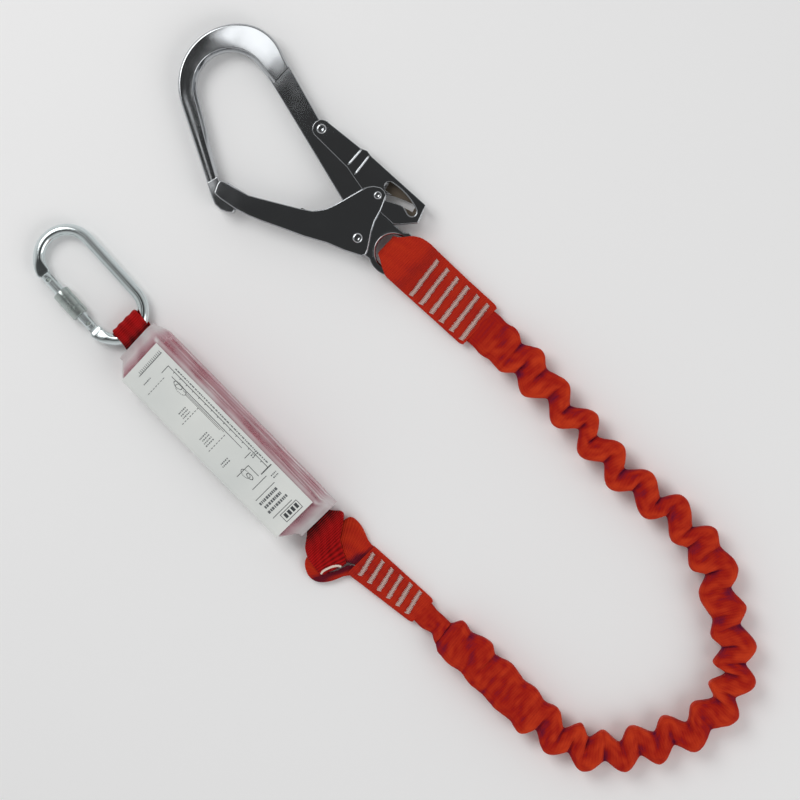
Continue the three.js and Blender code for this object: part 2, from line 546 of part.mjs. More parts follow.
// ================= Scaffold hook =================
const hook = assembly(HOOK);
{
  const outline = new THREE.Shape();
  outline.moveTo(93.1, 91.5);
  outline.lineTo(92.6, 94);
  outline.lineTo(95, 97.2);
  outline.lineTo(99.5, 100.9);
  outline.lineTo(105.5, 102.6);
  outline.lineTo(110.9, 101.9);
  outline.absarc(CROWN.x, CROWN.y, CROWN.r, 77 * DEG, -35 * DEG, true);
  outline.absarc(HEEL.x, HEEL.y, HEEL.r, -35 * DEG, -90 * DEG, true);
  outline.lineTo(122.8, -3.9);
  outline.lineTo(60, -5.5);
  outline.lineTo(31.7, -7.7);
  outline.lineTo(18.5, -11.7);
  outline.lineTo(8.5, -15.2);
  outline.absarc(0, 0, EYE.outer, -72 * DEG, -285 * DEG, true);
  outline.absarc(GATE_AXIS.x, GATE_AXIS.y, 10, 150 * DEG, 35 * DEG, true);
  outline.lineTo(38, 17);
  outline.lineTo(50, 13.4);
  outline.lineTo(160, 13.3);
  outline.absarc(THROAT.x, THROAT.y, THROAT.r, -90 * DEG, 76 * DEG, false);
  outline.lineTo(120.5, 89.7);
  outline.lineTo(114.5, 88.4);
  outline.lineTo(104.5, 82.6);
  const eyeHole = rodZ(0, 0, EYE.r, -9, 9, 40);
  const archOnly = polygon([[164.3, 14.5], [169.3, -9], [240, -9], [240, 110], [85, 110], [85, 50], [164.3, 50]]);
  const thin = plate(outline, -SHANK_HALF, SHANK_HALF);
  const thick = plate(outline, -ARCH_HALF, ARCH_HALF).intersect(plate(archOnly, -9, 9));
  const body = thin
    .add(thick)
    .add(rodZ(LEVER_AXIS.x, LEVER_AXIS.y, 6, -6, 6, 24))
    .add(rodZ(GATE_AXIS.x, GATE_AXIS.y, 4.6, -6.8, 6.8, 24))
    .subtract(eyeHole)
    .subtract(rodZ(LEVER_AXIS.x, LEVER_AXIS.y, RIVET.hole, -9, 9))
    .subtract(rodZ(GATE_AXIS.x, GATE_AXIS.y, RIVET.hole, -9, 9));
  put(hook, 'hook_body', body, chrome);

  // Gate: two cheeks outside everything else, joined by a web along the mouth side.
  const gateOutline = polygon([
    [118.2, 92.1], [119.4, 88.9], [116.8, 86.6], [97.9, 75.6], [85.4, 63.5], [67.8, 46.1],
    [60.7, 38.2], [56.6, 28.6], [55.5, 16.1], [55.2, -3.3], [54.5, -8.9], [52.5, -13.6],
    [48.7, -17.9], [44.9, -19.2], [40.8, -18.6], [33, -8.4], [28.4, -0.3], [22, 7],
    [11.6, 16.3], [9.2, 19.7], [9.8, 23.1], [21.1, 33], [33.8, 42.2], [47.8, 55.2],
    [60, 64.9], [74.3, 76.7], [84, 84], [95.2, 90.8], [107, 96.2], [113.3, 98],
  ]);
  const webOutline = polygon([
    [66, 44.2], [67.8, 46.1], [85.4, 63.5], [97.9, 75.6], [114.6, 85.3],
    [113.6, 87], [96.7, 77.2], [84, 65], [66.4, 47.5], [64.6, 45.6],
  ]);
  const { z0: g0, z1: g1 } = GATE_CHEEK;
  const gate = plate(gateOutline, g0, g1)
    .add(plate(gateOutline, -g1, -g0))
    .add(plate(webOutline, -g0 - 1, g0 + 1))
    .subtract(rodZ(GATE_AXIS.x, GATE_AXIS.y, RIVET.hole, -12, 12))
    .subtract(rodZ(LOCK.x, LOCK.y, LOCK.r + GAP, -12, 12));
  put(hook, 'hook_gate', gate, chrome);
  put(hook, 'hook_gate_rivet', rivet(RIVET.r, RIVET.head, 9.9, 0.7), chrome)
    .position.set(GATE_AXIS.x, GATE_AXIS.y, 0);
  put(hook, 'hook_lock_pin', rivet(LOCK.r, 3.2, 9.9, 0.7), chrome).position.set(LOCK.x, LOCK.y, 0);

  const ring = solidOf(new THREE.TorusGeometry(6.3, 0.8, 8, 24));
  const leg = solidOf(rod(0.8, 30, 8).rotateZ(-53 * DEG).translate(8.2, 14.1, 0));
  put(hook, 'hook_gate_spring', ring.add(leg), springSteel)
    .position.set(GATE_AXIS.x, GATE_AXIS.y, 5.7);

  // Lever: cheeks astride the shank, stepped in where they pass under the gate, joined along the outside.
  const leverEdge = [[9.5, -28.8], [18, -41.4], [73.4, -24.4], [79.1, -23.8], [83.3, -20.4], [115.3, -8.5]];
  const leverOutline = new THREE.Shape();
  leverOutline.moveTo(76.4, -3.3);
  leverOutline.lineTo(55.3, -4.6);
  leverOutline.lineTo(31.7, -7.7);
  leverOutline.lineTo(18.5, -11.7);
  leverOutline.lineTo(16.2, -15.1);
  for (const [x, y] of leverEdge) leverOutline.lineTo(x, y);
  leverOutline.absarc(LEVER_AXIS.x, LEVER_AXIS.y, LEVER_R, -70 * DEG, 105 * DEG, false);
  const webInside = [[-10, -36], [16.6, -36], [18.9, -39.2], [72.9, -22.6], [78.5, -22], [82.2, -18.9]];
  const hollow = polygon([...webInside, [108, -9.4], [112, -10], [130, -12], [130, 30], [-10, 30]]);
  const stepped = (low, high, from) => {
    const upper = [[-60, low], [from, low], [from + JOGGLE.run, high], [200, high]];
    const lower = upper.map(([x, z]) => [x, -z]).reverse();
    return channel(polygon([...lower, ...upper]), -60, 40, JOGGLE.slant);
  };
  const outside = stepped(LEVER_LOW.z1, LEVER_HIGH.z1, JOGGLE.x).intersect(plate(leverOutline, -20, 20));
  const inside = stepped(LEVER_LOW.z0, LEVER_HIGH.z0, JOGGLE.x + 2).intersect(plate(hollow, -20, 20));
  const realSlot = [];
  for (let i = 0; i <= 8; i++) {
    const a = (SLOT.from + ((SLOT.to - SLOT.from) * i) / 8) * DEG;
    realSlot.push([GATE_AXIS.x + SLOT.r * Math.cos(a), GATE_AXIS.y + SLOT.r * Math.sin(a)]);
  }
  const pinTrack = [];
  for (let i = 0; i <= 8; i++) {
    const f = i / 8;
    const atGate = turned([LOCK.x, LOCK.y], GATE_AXIS, -GATE_TRAVEL * f);
    pinTrack.push(turned(atGate, LEVER_AXIS, LEVER_TRAVEL * f));
  }
  const lever = outside
    .subtract(inside)
    .subtract(slotCut(realSlot, SLOT.half, -12, 12))
    .subtract(slotCut(pinTrack, LOCK.r + 0.5, -12, 12))
    .subtract(rodZ(LEVER_AXIS.x, LEVER_AXIS.y, RIVET.hole, -12, 12));
  put(hook, 'hook_lever', lever, chrome);
  put(hook, 'hook_lever_rivet', rivet(RIVET.r, RIVET.head, 9.3, 0.7), chrome)
    .position.set(LEVER_AXIS.x, LEVER_AXIS.y, 0);
  const leverSpring = coil(2.4, 0.5, 6, 4);
  const spring = put(hook, 'hook_lever_spring', leverSpring, springSteel);
  spring.position.set(92.4, -14.2, 0);
  spring.rotation.z = 110 * DEG;
}

export default model;
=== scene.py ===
import json
import random
from math import copysign, cos, degrees, hypot, pi, radians, sin, sqrt

import bmesh
import bpy
import numpy as np
from mathutils import Matrix, Vector, noise


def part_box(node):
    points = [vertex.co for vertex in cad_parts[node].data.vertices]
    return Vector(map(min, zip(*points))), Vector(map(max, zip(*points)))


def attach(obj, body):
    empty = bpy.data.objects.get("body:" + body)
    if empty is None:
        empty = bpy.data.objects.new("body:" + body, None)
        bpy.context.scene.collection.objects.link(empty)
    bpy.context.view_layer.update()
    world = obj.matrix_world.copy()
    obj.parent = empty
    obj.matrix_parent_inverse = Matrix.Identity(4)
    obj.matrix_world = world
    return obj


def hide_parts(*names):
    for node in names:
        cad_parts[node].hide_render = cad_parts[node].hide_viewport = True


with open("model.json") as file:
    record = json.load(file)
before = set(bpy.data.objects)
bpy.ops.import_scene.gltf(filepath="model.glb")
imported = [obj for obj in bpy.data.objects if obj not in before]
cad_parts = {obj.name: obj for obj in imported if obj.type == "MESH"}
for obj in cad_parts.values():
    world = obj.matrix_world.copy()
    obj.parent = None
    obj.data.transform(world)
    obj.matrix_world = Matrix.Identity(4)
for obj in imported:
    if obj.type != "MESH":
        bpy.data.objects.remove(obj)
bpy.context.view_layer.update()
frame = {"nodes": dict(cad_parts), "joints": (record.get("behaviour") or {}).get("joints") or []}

# A shock absorbing lanyard, laid flat. Local frames and sizes are in millimetres, as in the part's source;
# place() turns them into the frame's metres.

MM = 0.001
scene = bpy.context.scene
random.seed(7)

# ---- Where each assembly lies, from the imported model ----
joint_at = {j["name"]: Vector(j["pos_m"]) for j in frame["joints"] if j.get("pos_m")}
HOOK_YAW = 121
WEB_YAW = -43
PACK_YAW = -45.5
PACK_ROLL = 24
KARABINER_YAW = -47.8


def place(point, yaw, roll=0.0, at=(0, 0, 0)):
    """A local frame in millimetres whose point `at` is at `point`, in metres."""
    turn = Matrix.Rotation(radians(yaw), 4, "Z") @ Matrix.Rotation(radians(roll), 4, "X")
    turn = turn @ Matrix.Scale(MM, 4)
    return Matrix.Translation(Vector(point) - turn @ Vector(at)) @ turn


hook = place(joint_at["hook_swing"], HOOK_YAW)
eye_x, eye_y, _ = joint_at["hook_swing"]
web = place((eye_x, eye_y, 0), WEB_YAW)
karabiner = place(joint_at["karabiner_swing"], KARABINER_YAW, at=(29.25, 0, 0))
low_corner, high_corner = (Vector(corner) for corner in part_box("absorber_tear_webbing"))
pack = place((low_corner + high_corner) / 2, PACK_YAW, PACK_ROLL, at=(3, 0, 0))
pack_x, pack_y, _ = pack.translation
level = place((pack_x, pack_y, 0), PACK_YAW)
lower_end = level @ Matrix.Translation((104, 0, 0))

# ---- Sizes shared by several pieces ----
EYE_R = 14
SHANK_HALF = 4.5
ARCH_HALF = 6.7
GATE_AXIS = (23.6, 18.5)
LEVER_AXIS = (112.8, -1.6)
LOCK_PIN = (44.4, -12.7)
LEVER_SHARE = 0.1944  # of the gate's swing
BAR_R = 4.75
BOW_R = 22.5
BOW_X = 29.25
BAR_Y = -22.5
HINGE_X = 22
LATCH_X = -25.5
RIB = 2.0  # pitch of the webbing's cross ribs
CORD_PITCH = 2.1  # of the fine cords along the gathers


# ================= Materials =================
def linear(*rgb):
    """An sRGB colour, 0 to 255, as the shader's linear colour."""
    parts = [c / 255 for c in rgb]
    return tuple(c / 12.92 if c <= 0.04045 else ((c + 0.055) / 1.055) ** 2.4 for c in parts) + (1.0,)


def ramp(tree, factor, stops):
    """A colour ramp in a node tree. A stop is its place and its colour."""
    n = tree.nodes.new("ShaderNodeValToRGB")
    elements = n.color_ramp.elements
    while len(elements) < len(stops):
        elements.new(0.5)
    for element, (at, colour) in zip(elements, stops):
        element.position = at
        element.color = colour
    tree.links.new(factor, n.inputs[0])
    return n.outputs[0]


class Look:
    """A Principled material and the few nodes that its detail is made of."""

    def __init__(self, name, colour, roughness, metallic=0.0, **sockets):
        self.material = bpy.data.materials.new(name)
        self.material.use_nodes = True
        self.nodes = self.material.node_tree.nodes
        self.links = self.material.node_tree.links
        self.shader = self.nodes["Principled BSDF"]
        self.shader.inputs["Base Color"].default_value = colour
        self.shader.inputs["Roughness"].default_value = roughness
        self.shader.inputs["Metallic"].default_value = metallic
        for socket, value in sockets.items():
            self.shader.inputs[socket.replace("_", " ")].default_value = value

    def node(self, kind, **values):
        n = self.nodes.new(kind)
        for key, value in values.items():
            setattr(n, key, value)
        return n

    def math(self, operation, a, b=0.0):
        n = self.node("ShaderNodeMath", operation=operation)
        for socket, value in zip(n.inputs, (a, b)):
            if isinstance(value, (int, float)):
                socket.default_value = value
            else:
                self.links.new(value, socket)
        return n.outputs[0]

    def noise(self, scale, detail):
        n = self.node("ShaderNodeTexNoise")
        n.inputs["Scale"].default_value = scale
        n.inputs["Detail"].default_value = detail
        self.links.new(self.node("ShaderNodeTexCoord").outputs["Object"], n.inputs["Vector"])
        return n.outputs["Fac"]

    def uv(self):
        n = self.node("ShaderNodeSeparateXYZ")
        at = self.node("ShaderNodeUVMap", uv_map="cloth")
        self.links.new(at.outputs["UV"], n.inputs[0])
        return n.outputs[0], n.outputs[1]

    def attribute(self, name):
        return self.node("ShaderNodeAttribute", attribute_name=name).outputs["Fac"]

    def ramp(self, factor, stops):
        return ramp(self.material.node_tree, factor, stops)

    def wave(self, value, pitch):
        """0 to 1 and back, once in every pitch of value."""
        turns = self.math("MULTIPLY", value, 2 * pi / pitch)
        return self.math("MULTIPLY_ADD", self.math("SINE", turns), 0.5)

    def bump(self, height, strength, distance):
        n = self.node("ShaderNodeBump")
        n.inputs["Strength"].default_value = strength
        n.inputs["Distance"].default_value = distance * MM
        self.links.new(height, n.inputs["Height"])
        before = self.shader.inputs["Normal"]
        if before.is_linked:
            self.links.new(before.links[0].from_socket, n.inputs["Normal"])
        self.links.new(n.outputs["Normal"], before)

    def feed(self, socket, value):
        self.links.new(value, self.shader.inputs[socket])


def polished(name, rgb, roughness, grain, swell=0.03):
    """Plated steel: faint cloudiness that varies over the surface, and fine polishing marks."""
    look = Look(name, linear(*rgb), roughness, 1.0)
    glossy, hazy = ((roughness * share,) * 3 + (1,) for share in (0.7, 1.6))
    look.feed("Roughness", look.ramp(look.noise(60, 4), [(0.3, glossy), (0.75, hazy)]))
    look.bump(look.noise(260, 3), grain, 0.05)
    look.bump(look.noise(22, 1), swell, 0.6)
    return look.material


def woven(name, base, deep, painted_highlight, rib, relief, rib_tone_and_shade, corded=False):
    """Webbing: ribs across the strap, fine yarns along it, and painted shade: the colour darkens where the
    webbing is deeply folded and lightens to a painted highlight on the crowns. The ribs' tint is partly the
    weave's tone and partly painted shade in their grooves.
    """
    base, deep, painted_highlight = linear(*base), linear(*deep), linear(*painted_highlight)
    look = Look(name, base, 0.75, Sheen_Weight=0.03, Sheen_Roughness=0.5, Specular_IOR_Level=0.1)
    across, along = look.uv()
    painted_shade = look.attribute("painted_shade")
    ribs = look.wave(along, rib)
    yarns = look.wave(across, 0.9)
    if corded:
        cord = look.attribute("cord")
        cords = look.math("MULTIPLY", look.wave(across, CORD_PITCH), cord)
        ribs = look.math("ADD", look.math("MULTIPLY", ribs, look.math("SUBTRACT", 1.0, cord)), cords)
    weave = look.math("ADD", look.math("MULTIPLY", ribs, 0.8), look.math("MULTIPLY", yarns, 0.2))
    blotch = look.math("MULTIPLY", look.noise(38, 3), 0.5)
    # The ribs' tint: partly the weave's own tone, partly painted shade in the grooves between ribs.
    tint = look.math("MULTIPLY", ribs, rib_tone_and_shade)
    shade = look.math("ADD", painted_shade, look.math("SUBTRACT", look.math("ADD", blotch, tint), 0.25 + rib_tone_and_shade / 2))
    # The darkest stop is painted shade in deep creases, the lightest a painted highlight on their crowns.
    look.feed("Base Color", look.ramp(shade, [(0.1, deep), (0.46, base), (0.9, painted_highlight)]))
    look.bump(weave, relief, 0.5)
    return look.material


def plain_fabric(name, rgb, scale):
    look = Look(name, linear(*rgb), 0.8, Sheen_Weight=0.2)
    look.bump(look.noise(scale, 2), 0.5, 0.2)
    return look.material


def shrink_film():
    """Clear plastic, milky where it is thick or creased; the milkiness along its upper edges is a painted
    highlight.
    """
    look = Look("shrink_film", linear(214, 176, 184), 0.3, Coat_Weight=0.2)
    haze_and_highlight = look.attribute("haze_and_highlight")
    fine = look.noise(70, 3)
    clear, cloudy, milky = linear(196, 96, 118), linear(208, 166, 174), linear(216, 212, 212)
    look.feed("Base Color", look.ramp(haze_and_highlight, [(0.2, clear), (0.5, cloudy), (0.8, milky)]))
    cloud = look.math("ADD", haze_and_highlight, look.math("MULTIPLY", look.math("SUBTRACT", fine, 0.5), 0.3))
    look.feed("Alpha", look.math("MINIMUM", cloud, 0.94))
    look.bump(fine, 0.2, 0.6)
    return look.material


def printed_card():
    look = Look("label_card", linear(232, 235, 231), 0.38, Coat_Weight=0.25)
    stops = [(0.3, linear(222, 226, 223)), (0.7, linear(238, 240, 236))]
    look.feed("Base Color", look.ramp(look.noise(14, 2), stops))
    look.bump(look.noise(24, 1), 0.12, 1.0)
    return look.material


CHROME = polished("hook_chrome", (188, 191, 194), 0.06, 0.002, 0.008)
ZINC = polished("karabiner_zinc", (216, 225, 226), 0.14, 0.06)
DULL_ZINC = polished("sleeve_zinc", (178, 187, 184), 0.26, 0.2)
# A brownish sheet's colour, painted shade for the view down the lever's slot.
SLOT_SHADE = polished("slot_shade_sheet", (118, 108, 96), 0.5, 0.2)
SPRING = polished("spring_steel", (140, 140, 138), 0.3, 0.1)
# Each webbing's last two colours are painted shade for deep creases and a painted highlight for their crowns.
ORANGE = woven("orange_webbing", (182, 38, 20), (100, 16, 34), (206, 60, 24), RIB, 0.8, 0.1)
GATHERED = woven("gathered_webbing", (164, 24, 13), (98, 14, 52), (200, 58, 24), RIB, 0.5, 0.08, corded=True)
RED = woven("red_webbing", (160, 6, 8), (56, 0, 2), (200, 24, 26), RIB, 0.9, 0.34)
CORE_RED = woven("folded_webbing", (160, 30, 56), (124, 18, 40), (184, 64, 86), 2.3, 0.25, 0.1)
THREAD = plain_fabric("tack_thread", (204, 176, 168), 900)
WHITE_THREAD = plain_fabric("edge_thread", (232, 214, 200), 900)
ELASTIC = plain_fabric("elastic_core", (214, 200, 170), 600)
FILM = shrink_film()
CARD = printed_card()
INK = Look("label_ink", linear(58, 62, 64), 0.55).material
PALE_INK = Look("label_pale_ink", linear(96, 100, 102), 0.55).material


# ================= Mesh helpers =================
def in_scene(name, data):
    piece = bpy.data.objects.new(name, data)
    scene.collection.objects.link(piece)
    return piece


def dress(mesh, material):
    mesh.materials.clear()
    mesh.materials.append(material)


def shaded(name, mesh, material, node, body="lanyard"):
    """Puts a mesh that already has its normals into the scene, in place of a CAD node unless that is None."""
    dress(mesh, material)
    piece = in_scene(name, mesh)
    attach(piece, body)
    if node:
        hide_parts(node)
    return piece


def smoothed(mesh, sharp):
    for polygon in mesh.polygons:
        polygon.use_smooth = True
    mesh.set_sharp_from_angle(angle=radians(sharp))
    return mesh


def finish(name, mesh, material, node, sharp, body="lanyard"):
    """The same for a mesh whose edges over `sharp` degrees stay crisp."""
    return shaded(name, smoothed(mesh, sharp), material, node, body)


def mesh_of(name, points, faces, where):
    mesh = bpy.data.meshes.new(name)
    mesh.from_pydata([where @ Vector(p) for p in points], [], faces)
    return mesh


def outward(mesh):
    fix = bmesh.new()
    fix.from_mesh(mesh)
    bmesh.ops.recalc_face_normals(fix, faces=fix.faces)
    fix.to_mesh(mesh)
    fix.free()
    return mesh


def tint(mesh, name, values):
    """The mesh with a value at each of its points, which its material reads."""
    layer = mesh.attributes.new(name, "FLOAT", "POINT")
    layer.data.foreach_set("value", np.array(values, dtype=np.float32))
    return mesh


def loft(name, rings, where, round_u=None, along_v=None, closed=False):
    """A skin over rings of points. Closed joins the last ring to the first; otherwise the ends are capped."""
    rows = len(rings)
    n = len(rings[0])
    faces = []
    spans = rows if closed else rows - 1
    for i in range(spans):
        k = (i + 1) % rows
        for j in range(n):
            m = (j + 1) % n
            faces.append((i * n + j, i * n + m, k * n + m, k * n + j))
    if not closed:
        faces.append(tuple(range(n))[::-1])
        faces.append(tuple((rows - 1) * n + j for j in range(n)))
    mesh = mesh_of(name, [p for ring in rings for p in ring], faces, where)
    if round_u is not None:
        layer = mesh.uv_layers.new(name="cloth")
        at = 0
        for i in range(spans):
            for j in range(n):
                for row, col in ((i, j), (i, j + 1), (i + 1, j + 1), (i + 1, j)):
                    layer.data[at].uv = (round_u[col], along_v[row])
                    at += 1
    return outward(mesh)


def polar(centre, r, angle):
    a = radians(angle)
    return centre[0] + r * cos(a), centre[1] + r * sin(a)


def arc(cx, cy, r, start, end, count):
    return [polar((cx, cy), r, start + (end - start) * i / count) for i in range(count + 1)]


def trace(*legs, step=1.5):
    """Points every `step` along a line. A leg is a point, or an arc (cx, cy, r, from, to) in degrees."""
    corners = []
    for leg in legs:
        corners += [leg] if len(leg) == 2 else arc(*leg, max(4, int(abs(leg[4] - leg[3]) / 6)))
    return even(np.array(corners, dtype=float), step)


def mirrored(profile, *middle):
    """Half a profile, what lies between the halves, and the other half."""
    return profile + list(middle) + [(r, -h) for r, h in profile[::-1]]


def even(corners, step):
    gaps = np.linalg.norm(np.diff(corners, axis=0), axis=1)
    corners = corners[np.concatenate([[True], gaps > 1e-6])]
    run = np.concatenate([[0], np.cumsum(np.linalg.norm(np.diff(corners, axis=0), axis=1))])
    count = max(2, int(round(run[-1] / step)) + 1)
    at = np.linspace(0, run[-1], count)
    return np.stack([np.interp(at, run, corners[:, k]) for k in range(corners.shape[1])], axis=1)


def softened(line, times):
    line = line.copy()
    for _ in range(times):
        line[1:-1] = 0.25 * line[:-2] + 0.5 * line[1:-1] + 0.25 * line[2:]
    return line


def run_of(line):
    return np.concatenate([[0], np.cumsum(np.linalg.norm(np.diff(line, axis=0), axis=1))])


def spread(line, count):
    """The line as this many evenly spaced points."""
    return even(line, run_of(line)[-1] / (count - 1))[:count]


def smooth(x):
    """0 up to 0, 1 from 1, and an even rise between."""
    x = np.clip(x, 0, 1)
    return x * x * (3 - 2 * x)


def ripple(*at):
    return noise.noise(Vector(at))


def strap_section(half, thick, columns):
    """Points round a flat strap: across it on top, round the selvedge, and back below."""
    r = thick / 2
    flat = half - r
    top = [(flat - 2 * flat * i / columns, r) for i in range(columns + 1)]
    left = [(-flat - r * sin(a), r * cos(a)) for a in (pi / 4, pi / 2, 3 * pi / 4)]
    return top + left + [(-x, -y) for x, y in top] + [(-x, -y) for x, y in left]


def strap(name, line, low, high, thick, where, crease=0.0, crease_at=lambda x: 1.0, columns=18,
          skew=lambda x, y: 0.0, shade=lambda x: 0.0):
    """Webbing along a line in XZ; low(x) and high(x) are its sides in Y, and skew(x, y) is a shift in X.
    shade(x) is painted shade along it, and each point's lift paints its colour darker in dips and lighter on
    rises.
    """
    runs = run_of(line)
    rings = []
    painted_shades = []
    last = len(line) - 1
    for i, (x, z) in enumerate(line):
        tx, tz = line[min(last, i + 1)] - line[max(0, i - 1)]
        length = hypot(tx, tz)
        nx, nz = -tz / length, tx / length
        mid, half = (low(x) + high(x)) / 2, (high(x) - low(x)) / 2
        ring = []
        for a, h in strap_section(half, thick, columns):
            lift = crease * crease_at(x) * cos(2 * pi * a / 7.5 + 0.02 * runs[i])
            lift += 0.25 * ripple(a * 0.12, runs[i] * 0.08, 3.1)
            ring.append((x + nx * (h + lift) + skew(x, mid + a), mid + a, z + nz * (h + lift)))
            # Painted shade: the colour follows the surface's lift, and shade(x) darkens it further.
            painted_shades.append(0.5 + shade(x) + 0.25 * lift)
        rings.append(ring)
    u = [a for a, _ in strap_section(half, thick, columns)]
    return tint(loft(name, rings, where, u + u[:1], list(runs)), "painted_shade", painted_shades)


def solid(name, outline, z0, z1, where):
    """A flat plate between z0 and z1 with the given outline."""
    n = len(outline)
    points = [(x, y, z) for z in (z0, z1) for x, y in outline]
    faces = [(i, (i + 1) % n, n + (i + 1) % n, n + i) for i in range(n)]
    faces.append(tuple(range(n))[::-1])
    faces.append(tuple(range(n, 2 * n)))
    return outward(mesh_of(name, points, faces, where))


def with_modifiers(mesh, *modifiers):
    """The mesh as its modifiers leave it. A modifier is its type and its settings."""
    holder = in_scene("holder", mesh)
    for kind, settings in modifiers:
        modifier = holder.modifiers.new(kind.lower(), kind)
        for key, value in settings.items():
            setattr(modifier, key, value)
    done = bpy.data.meshes.new_from_object(holder.evaluated_get(bpy.context.evaluated_depsgraph_get()))
    bpy.data.objects.remove(holder)
    return done


def cut(mesh, tool):
    """The mesh with the tool's volume taken out of it."""
    holder = in_scene("tool", tool)
    mesh = with_modifiers(mesh, ("BOOLEAN", {"object": holder, "operation": "DIFFERENCE", "solver": "EXACT"}))
    bpy.data.objects.remove(holder)
    return mesh


def eased(mesh, width, segments=3):
    """The mesh with its sharp edges rounded over, and its flat faces shaded flat."""
    rounding = {
        "width": width * MM, "segments": segments, "limit_method": "ANGLE",
        "angle_limit": radians(28), "use_clamp_overlap": False, "miter_outer": "MITER_ARC",
    }
    for polygon in mesh.polygons:
        polygon.use_smooth = True
    return with_modifiers(mesh, ("BEVEL", rounding), ("WEIGHTED_NORMAL", {"keep_sharp": False, "weight": 80}))


def refined(node, width, segments=3):
    """A CAD node's own shape, with its flat faces joined up and its edges rounded."""
    fix = bmesh.new()
    fix.from_mesh(frame["nodes"][node].data)
    bmesh.ops.remove_doubles(fix, verts=fix.verts, dist=2e-6)
    bmesh.ops.dissolve_limit(fix, angle_limit=radians(0.6), verts=fix.verts, edges=fix.edges)
    mesh = bpy.data.meshes.new(node)
    fix.to_mesh(mesh)
    fix.free()
    return eased(mesh, width, segments)


def joined(*meshes):
    whole = bmesh.new()
    for mesh in meshes:
        whole.from_mesh(mesh)
    mesh = bpy.data.meshes.new(meshes[0].name)
    whole.to_mesh(mesh)
    whole.free()
    return mesh


def lathe(name, profile, where, steps, at=(0, 0), axis="Z"):
    """A profile of (radius, along) turned round an axis through `at`."""
    rings = []
    for r, h in profile:
        ring = []
        for i in range(steps):
            a = 2 * pi * i / steps
            c, s = max(r, 0.02) * cos(a), max(r, 0.02) * sin(a)
            x, y, z = (c, s, h) if axis == "Z" else (h, c, s)
            ring.append((at[0] + x, at[1] + y, z))
        rings.append(ring)
    closed = profile[0][0] > 0.1 and profile[-1][0] > 0.1
    return loft(name, rings, where, closed=closed)


def sweep(name, line, radius, where, sides):
    """Round wire or thread along 3-D points."""
    line = np.asarray(line, dtype=float)
    rings = []
    side = None
    last = len(line) - 1
    for i, p in enumerate(line):
        t = line[min(last, i + 1)] - line[max(0, i - 1)]
        t /= np.linalg.norm(t)
        if side is None:
            side = np.cross(t, (0.13, 0.21, 0.97))
        side = side - t * np.dot(side, t)
        side /= np.linalg.norm(side)
        up = np.cross(t, side)
        r = radius(i / last) if callable(radius) else radius
        turns = [2 * pi * k / sides for k in range(sides)]
        rings.append([tuple(p + r * (cos(a) * side + sin(a) * up)) for a in turns])
    return loft(name, rings, where)


# ================= Camera =================
VIEW = Vector((0.1056, -0.060, 0.012))
LEAN = radians(2)
FAR = 1.7
SEEN = 0.64  # the width of the picture at that distance
SENSOR = 36
toward = Vector((0.75, 0.66, 0)).normalized() * sin(LEAN) + Vector((0, 0, cos(LEAN)))
across = Vector((0, 1, 0)).cross(toward).normalized()
lens = bpy.data.cameras.new("camera")
lens.sensor_width = SENSOR
lens.lens = SENSOR * FAR / SEEN
lens.clip_start = 0.05
camera = in_scene("camera", lens)
turned_to = Matrix((across, toward.cross(across), toward)).transposed().to_4x4()
camera.matrix_world = Matrix.Translation(VIEW + toward * FAR) @ turned_to
scene.camera = camera

# ================= Elastic webbing =================
ROUTE = [
    (0.1246, -0.2312), (0.1382, -0.2451), (0.1618, -0.2628), (0.1812, -0.2816), (0.2003, -0.3008),
    (0.2197, -0.3186), (0.2411, -0.334), (0.267, -0.3418), (0.2935, -0.3375), (0.3195, -0.33),
    (0.3445, -0.3195), (0.3638, -0.3009), (0.3732, -0.2758), (0.3713, -0.2491), (0.3632, -0.2236),
    (0.3586, -0.1967), (0.345, -0.1744), (0.3274, -0.1546), (0.3058, -0.1382), (0.2855, -0.1204),
    (0.2669, -0.101), (0.2502, -0.0804), (0.2314, -0.0606), (0.2134, -0.041), (0.195, -0.0225),
    (0.171, -0.0025),
]
TUBE_Z = 0.0133
# Stretches of the gathers, in mm: where a stretch ends, the step from one side's tip to the other side's, and
# how far the tips and the hollows reach from the route.
STRETCHES = [
    (28, 8, 10, 8), (130, 12, 18, 15), (330, 14, 18, 8), (440, 15, 17.5, 10), (600, 15.5, 16.5, 4),
    (645, 13, 18, 9.5), (672, 9, 17, 15),
]


def gather_tables(rng):
    """Tips and hollows by turns, as (distance, reach), for both sides: where one has a tip the other dips."""
    sides = ([], [(0.0, 10.0)])
    at = 5.0
    turn = 0
    for end, step, tip, hollow in STRETCHES:
        while at < end:
            sides[turn % 2].append((at, tip + rng.uniform(-0.8, 0.4)))
            beside = at + step * rng.uniform(-0.2, 0.2)
            sides[1 - turn % 2].append((beside, hollow + rng.uniform(-1.8, 1.8)))
            at += step * rng.uniform(0.8, 1.2)
            turn += 1
    return sides


def smooth_route(points):
    """A Catmull-Rom curve through the points, in 14 steps from each to the next."""
    p = np.array(points)
    p = np.concatenate([[2 * p[0] - p[1]], p, [2 * p[-1] - p[-2]]])
    out = []
    for i in range(1, len(p) - 2):
        for t in np.arange(14) / 14:
            a = 2 * p[i]
            b = p[i + 1] - p[i - 1]
            c = 2 * p[i - 1] - 5 * p[i] + 4 * p[i + 1] - p[i + 2]
            d = 3 * p[i] - p[i - 1] - 3 * p[i + 1] + p[i + 2]
            out.append(0.5 * (a + b * t + c * t * t + d * t ** 3))
    out.append(p[-2])
    return np.array(out)


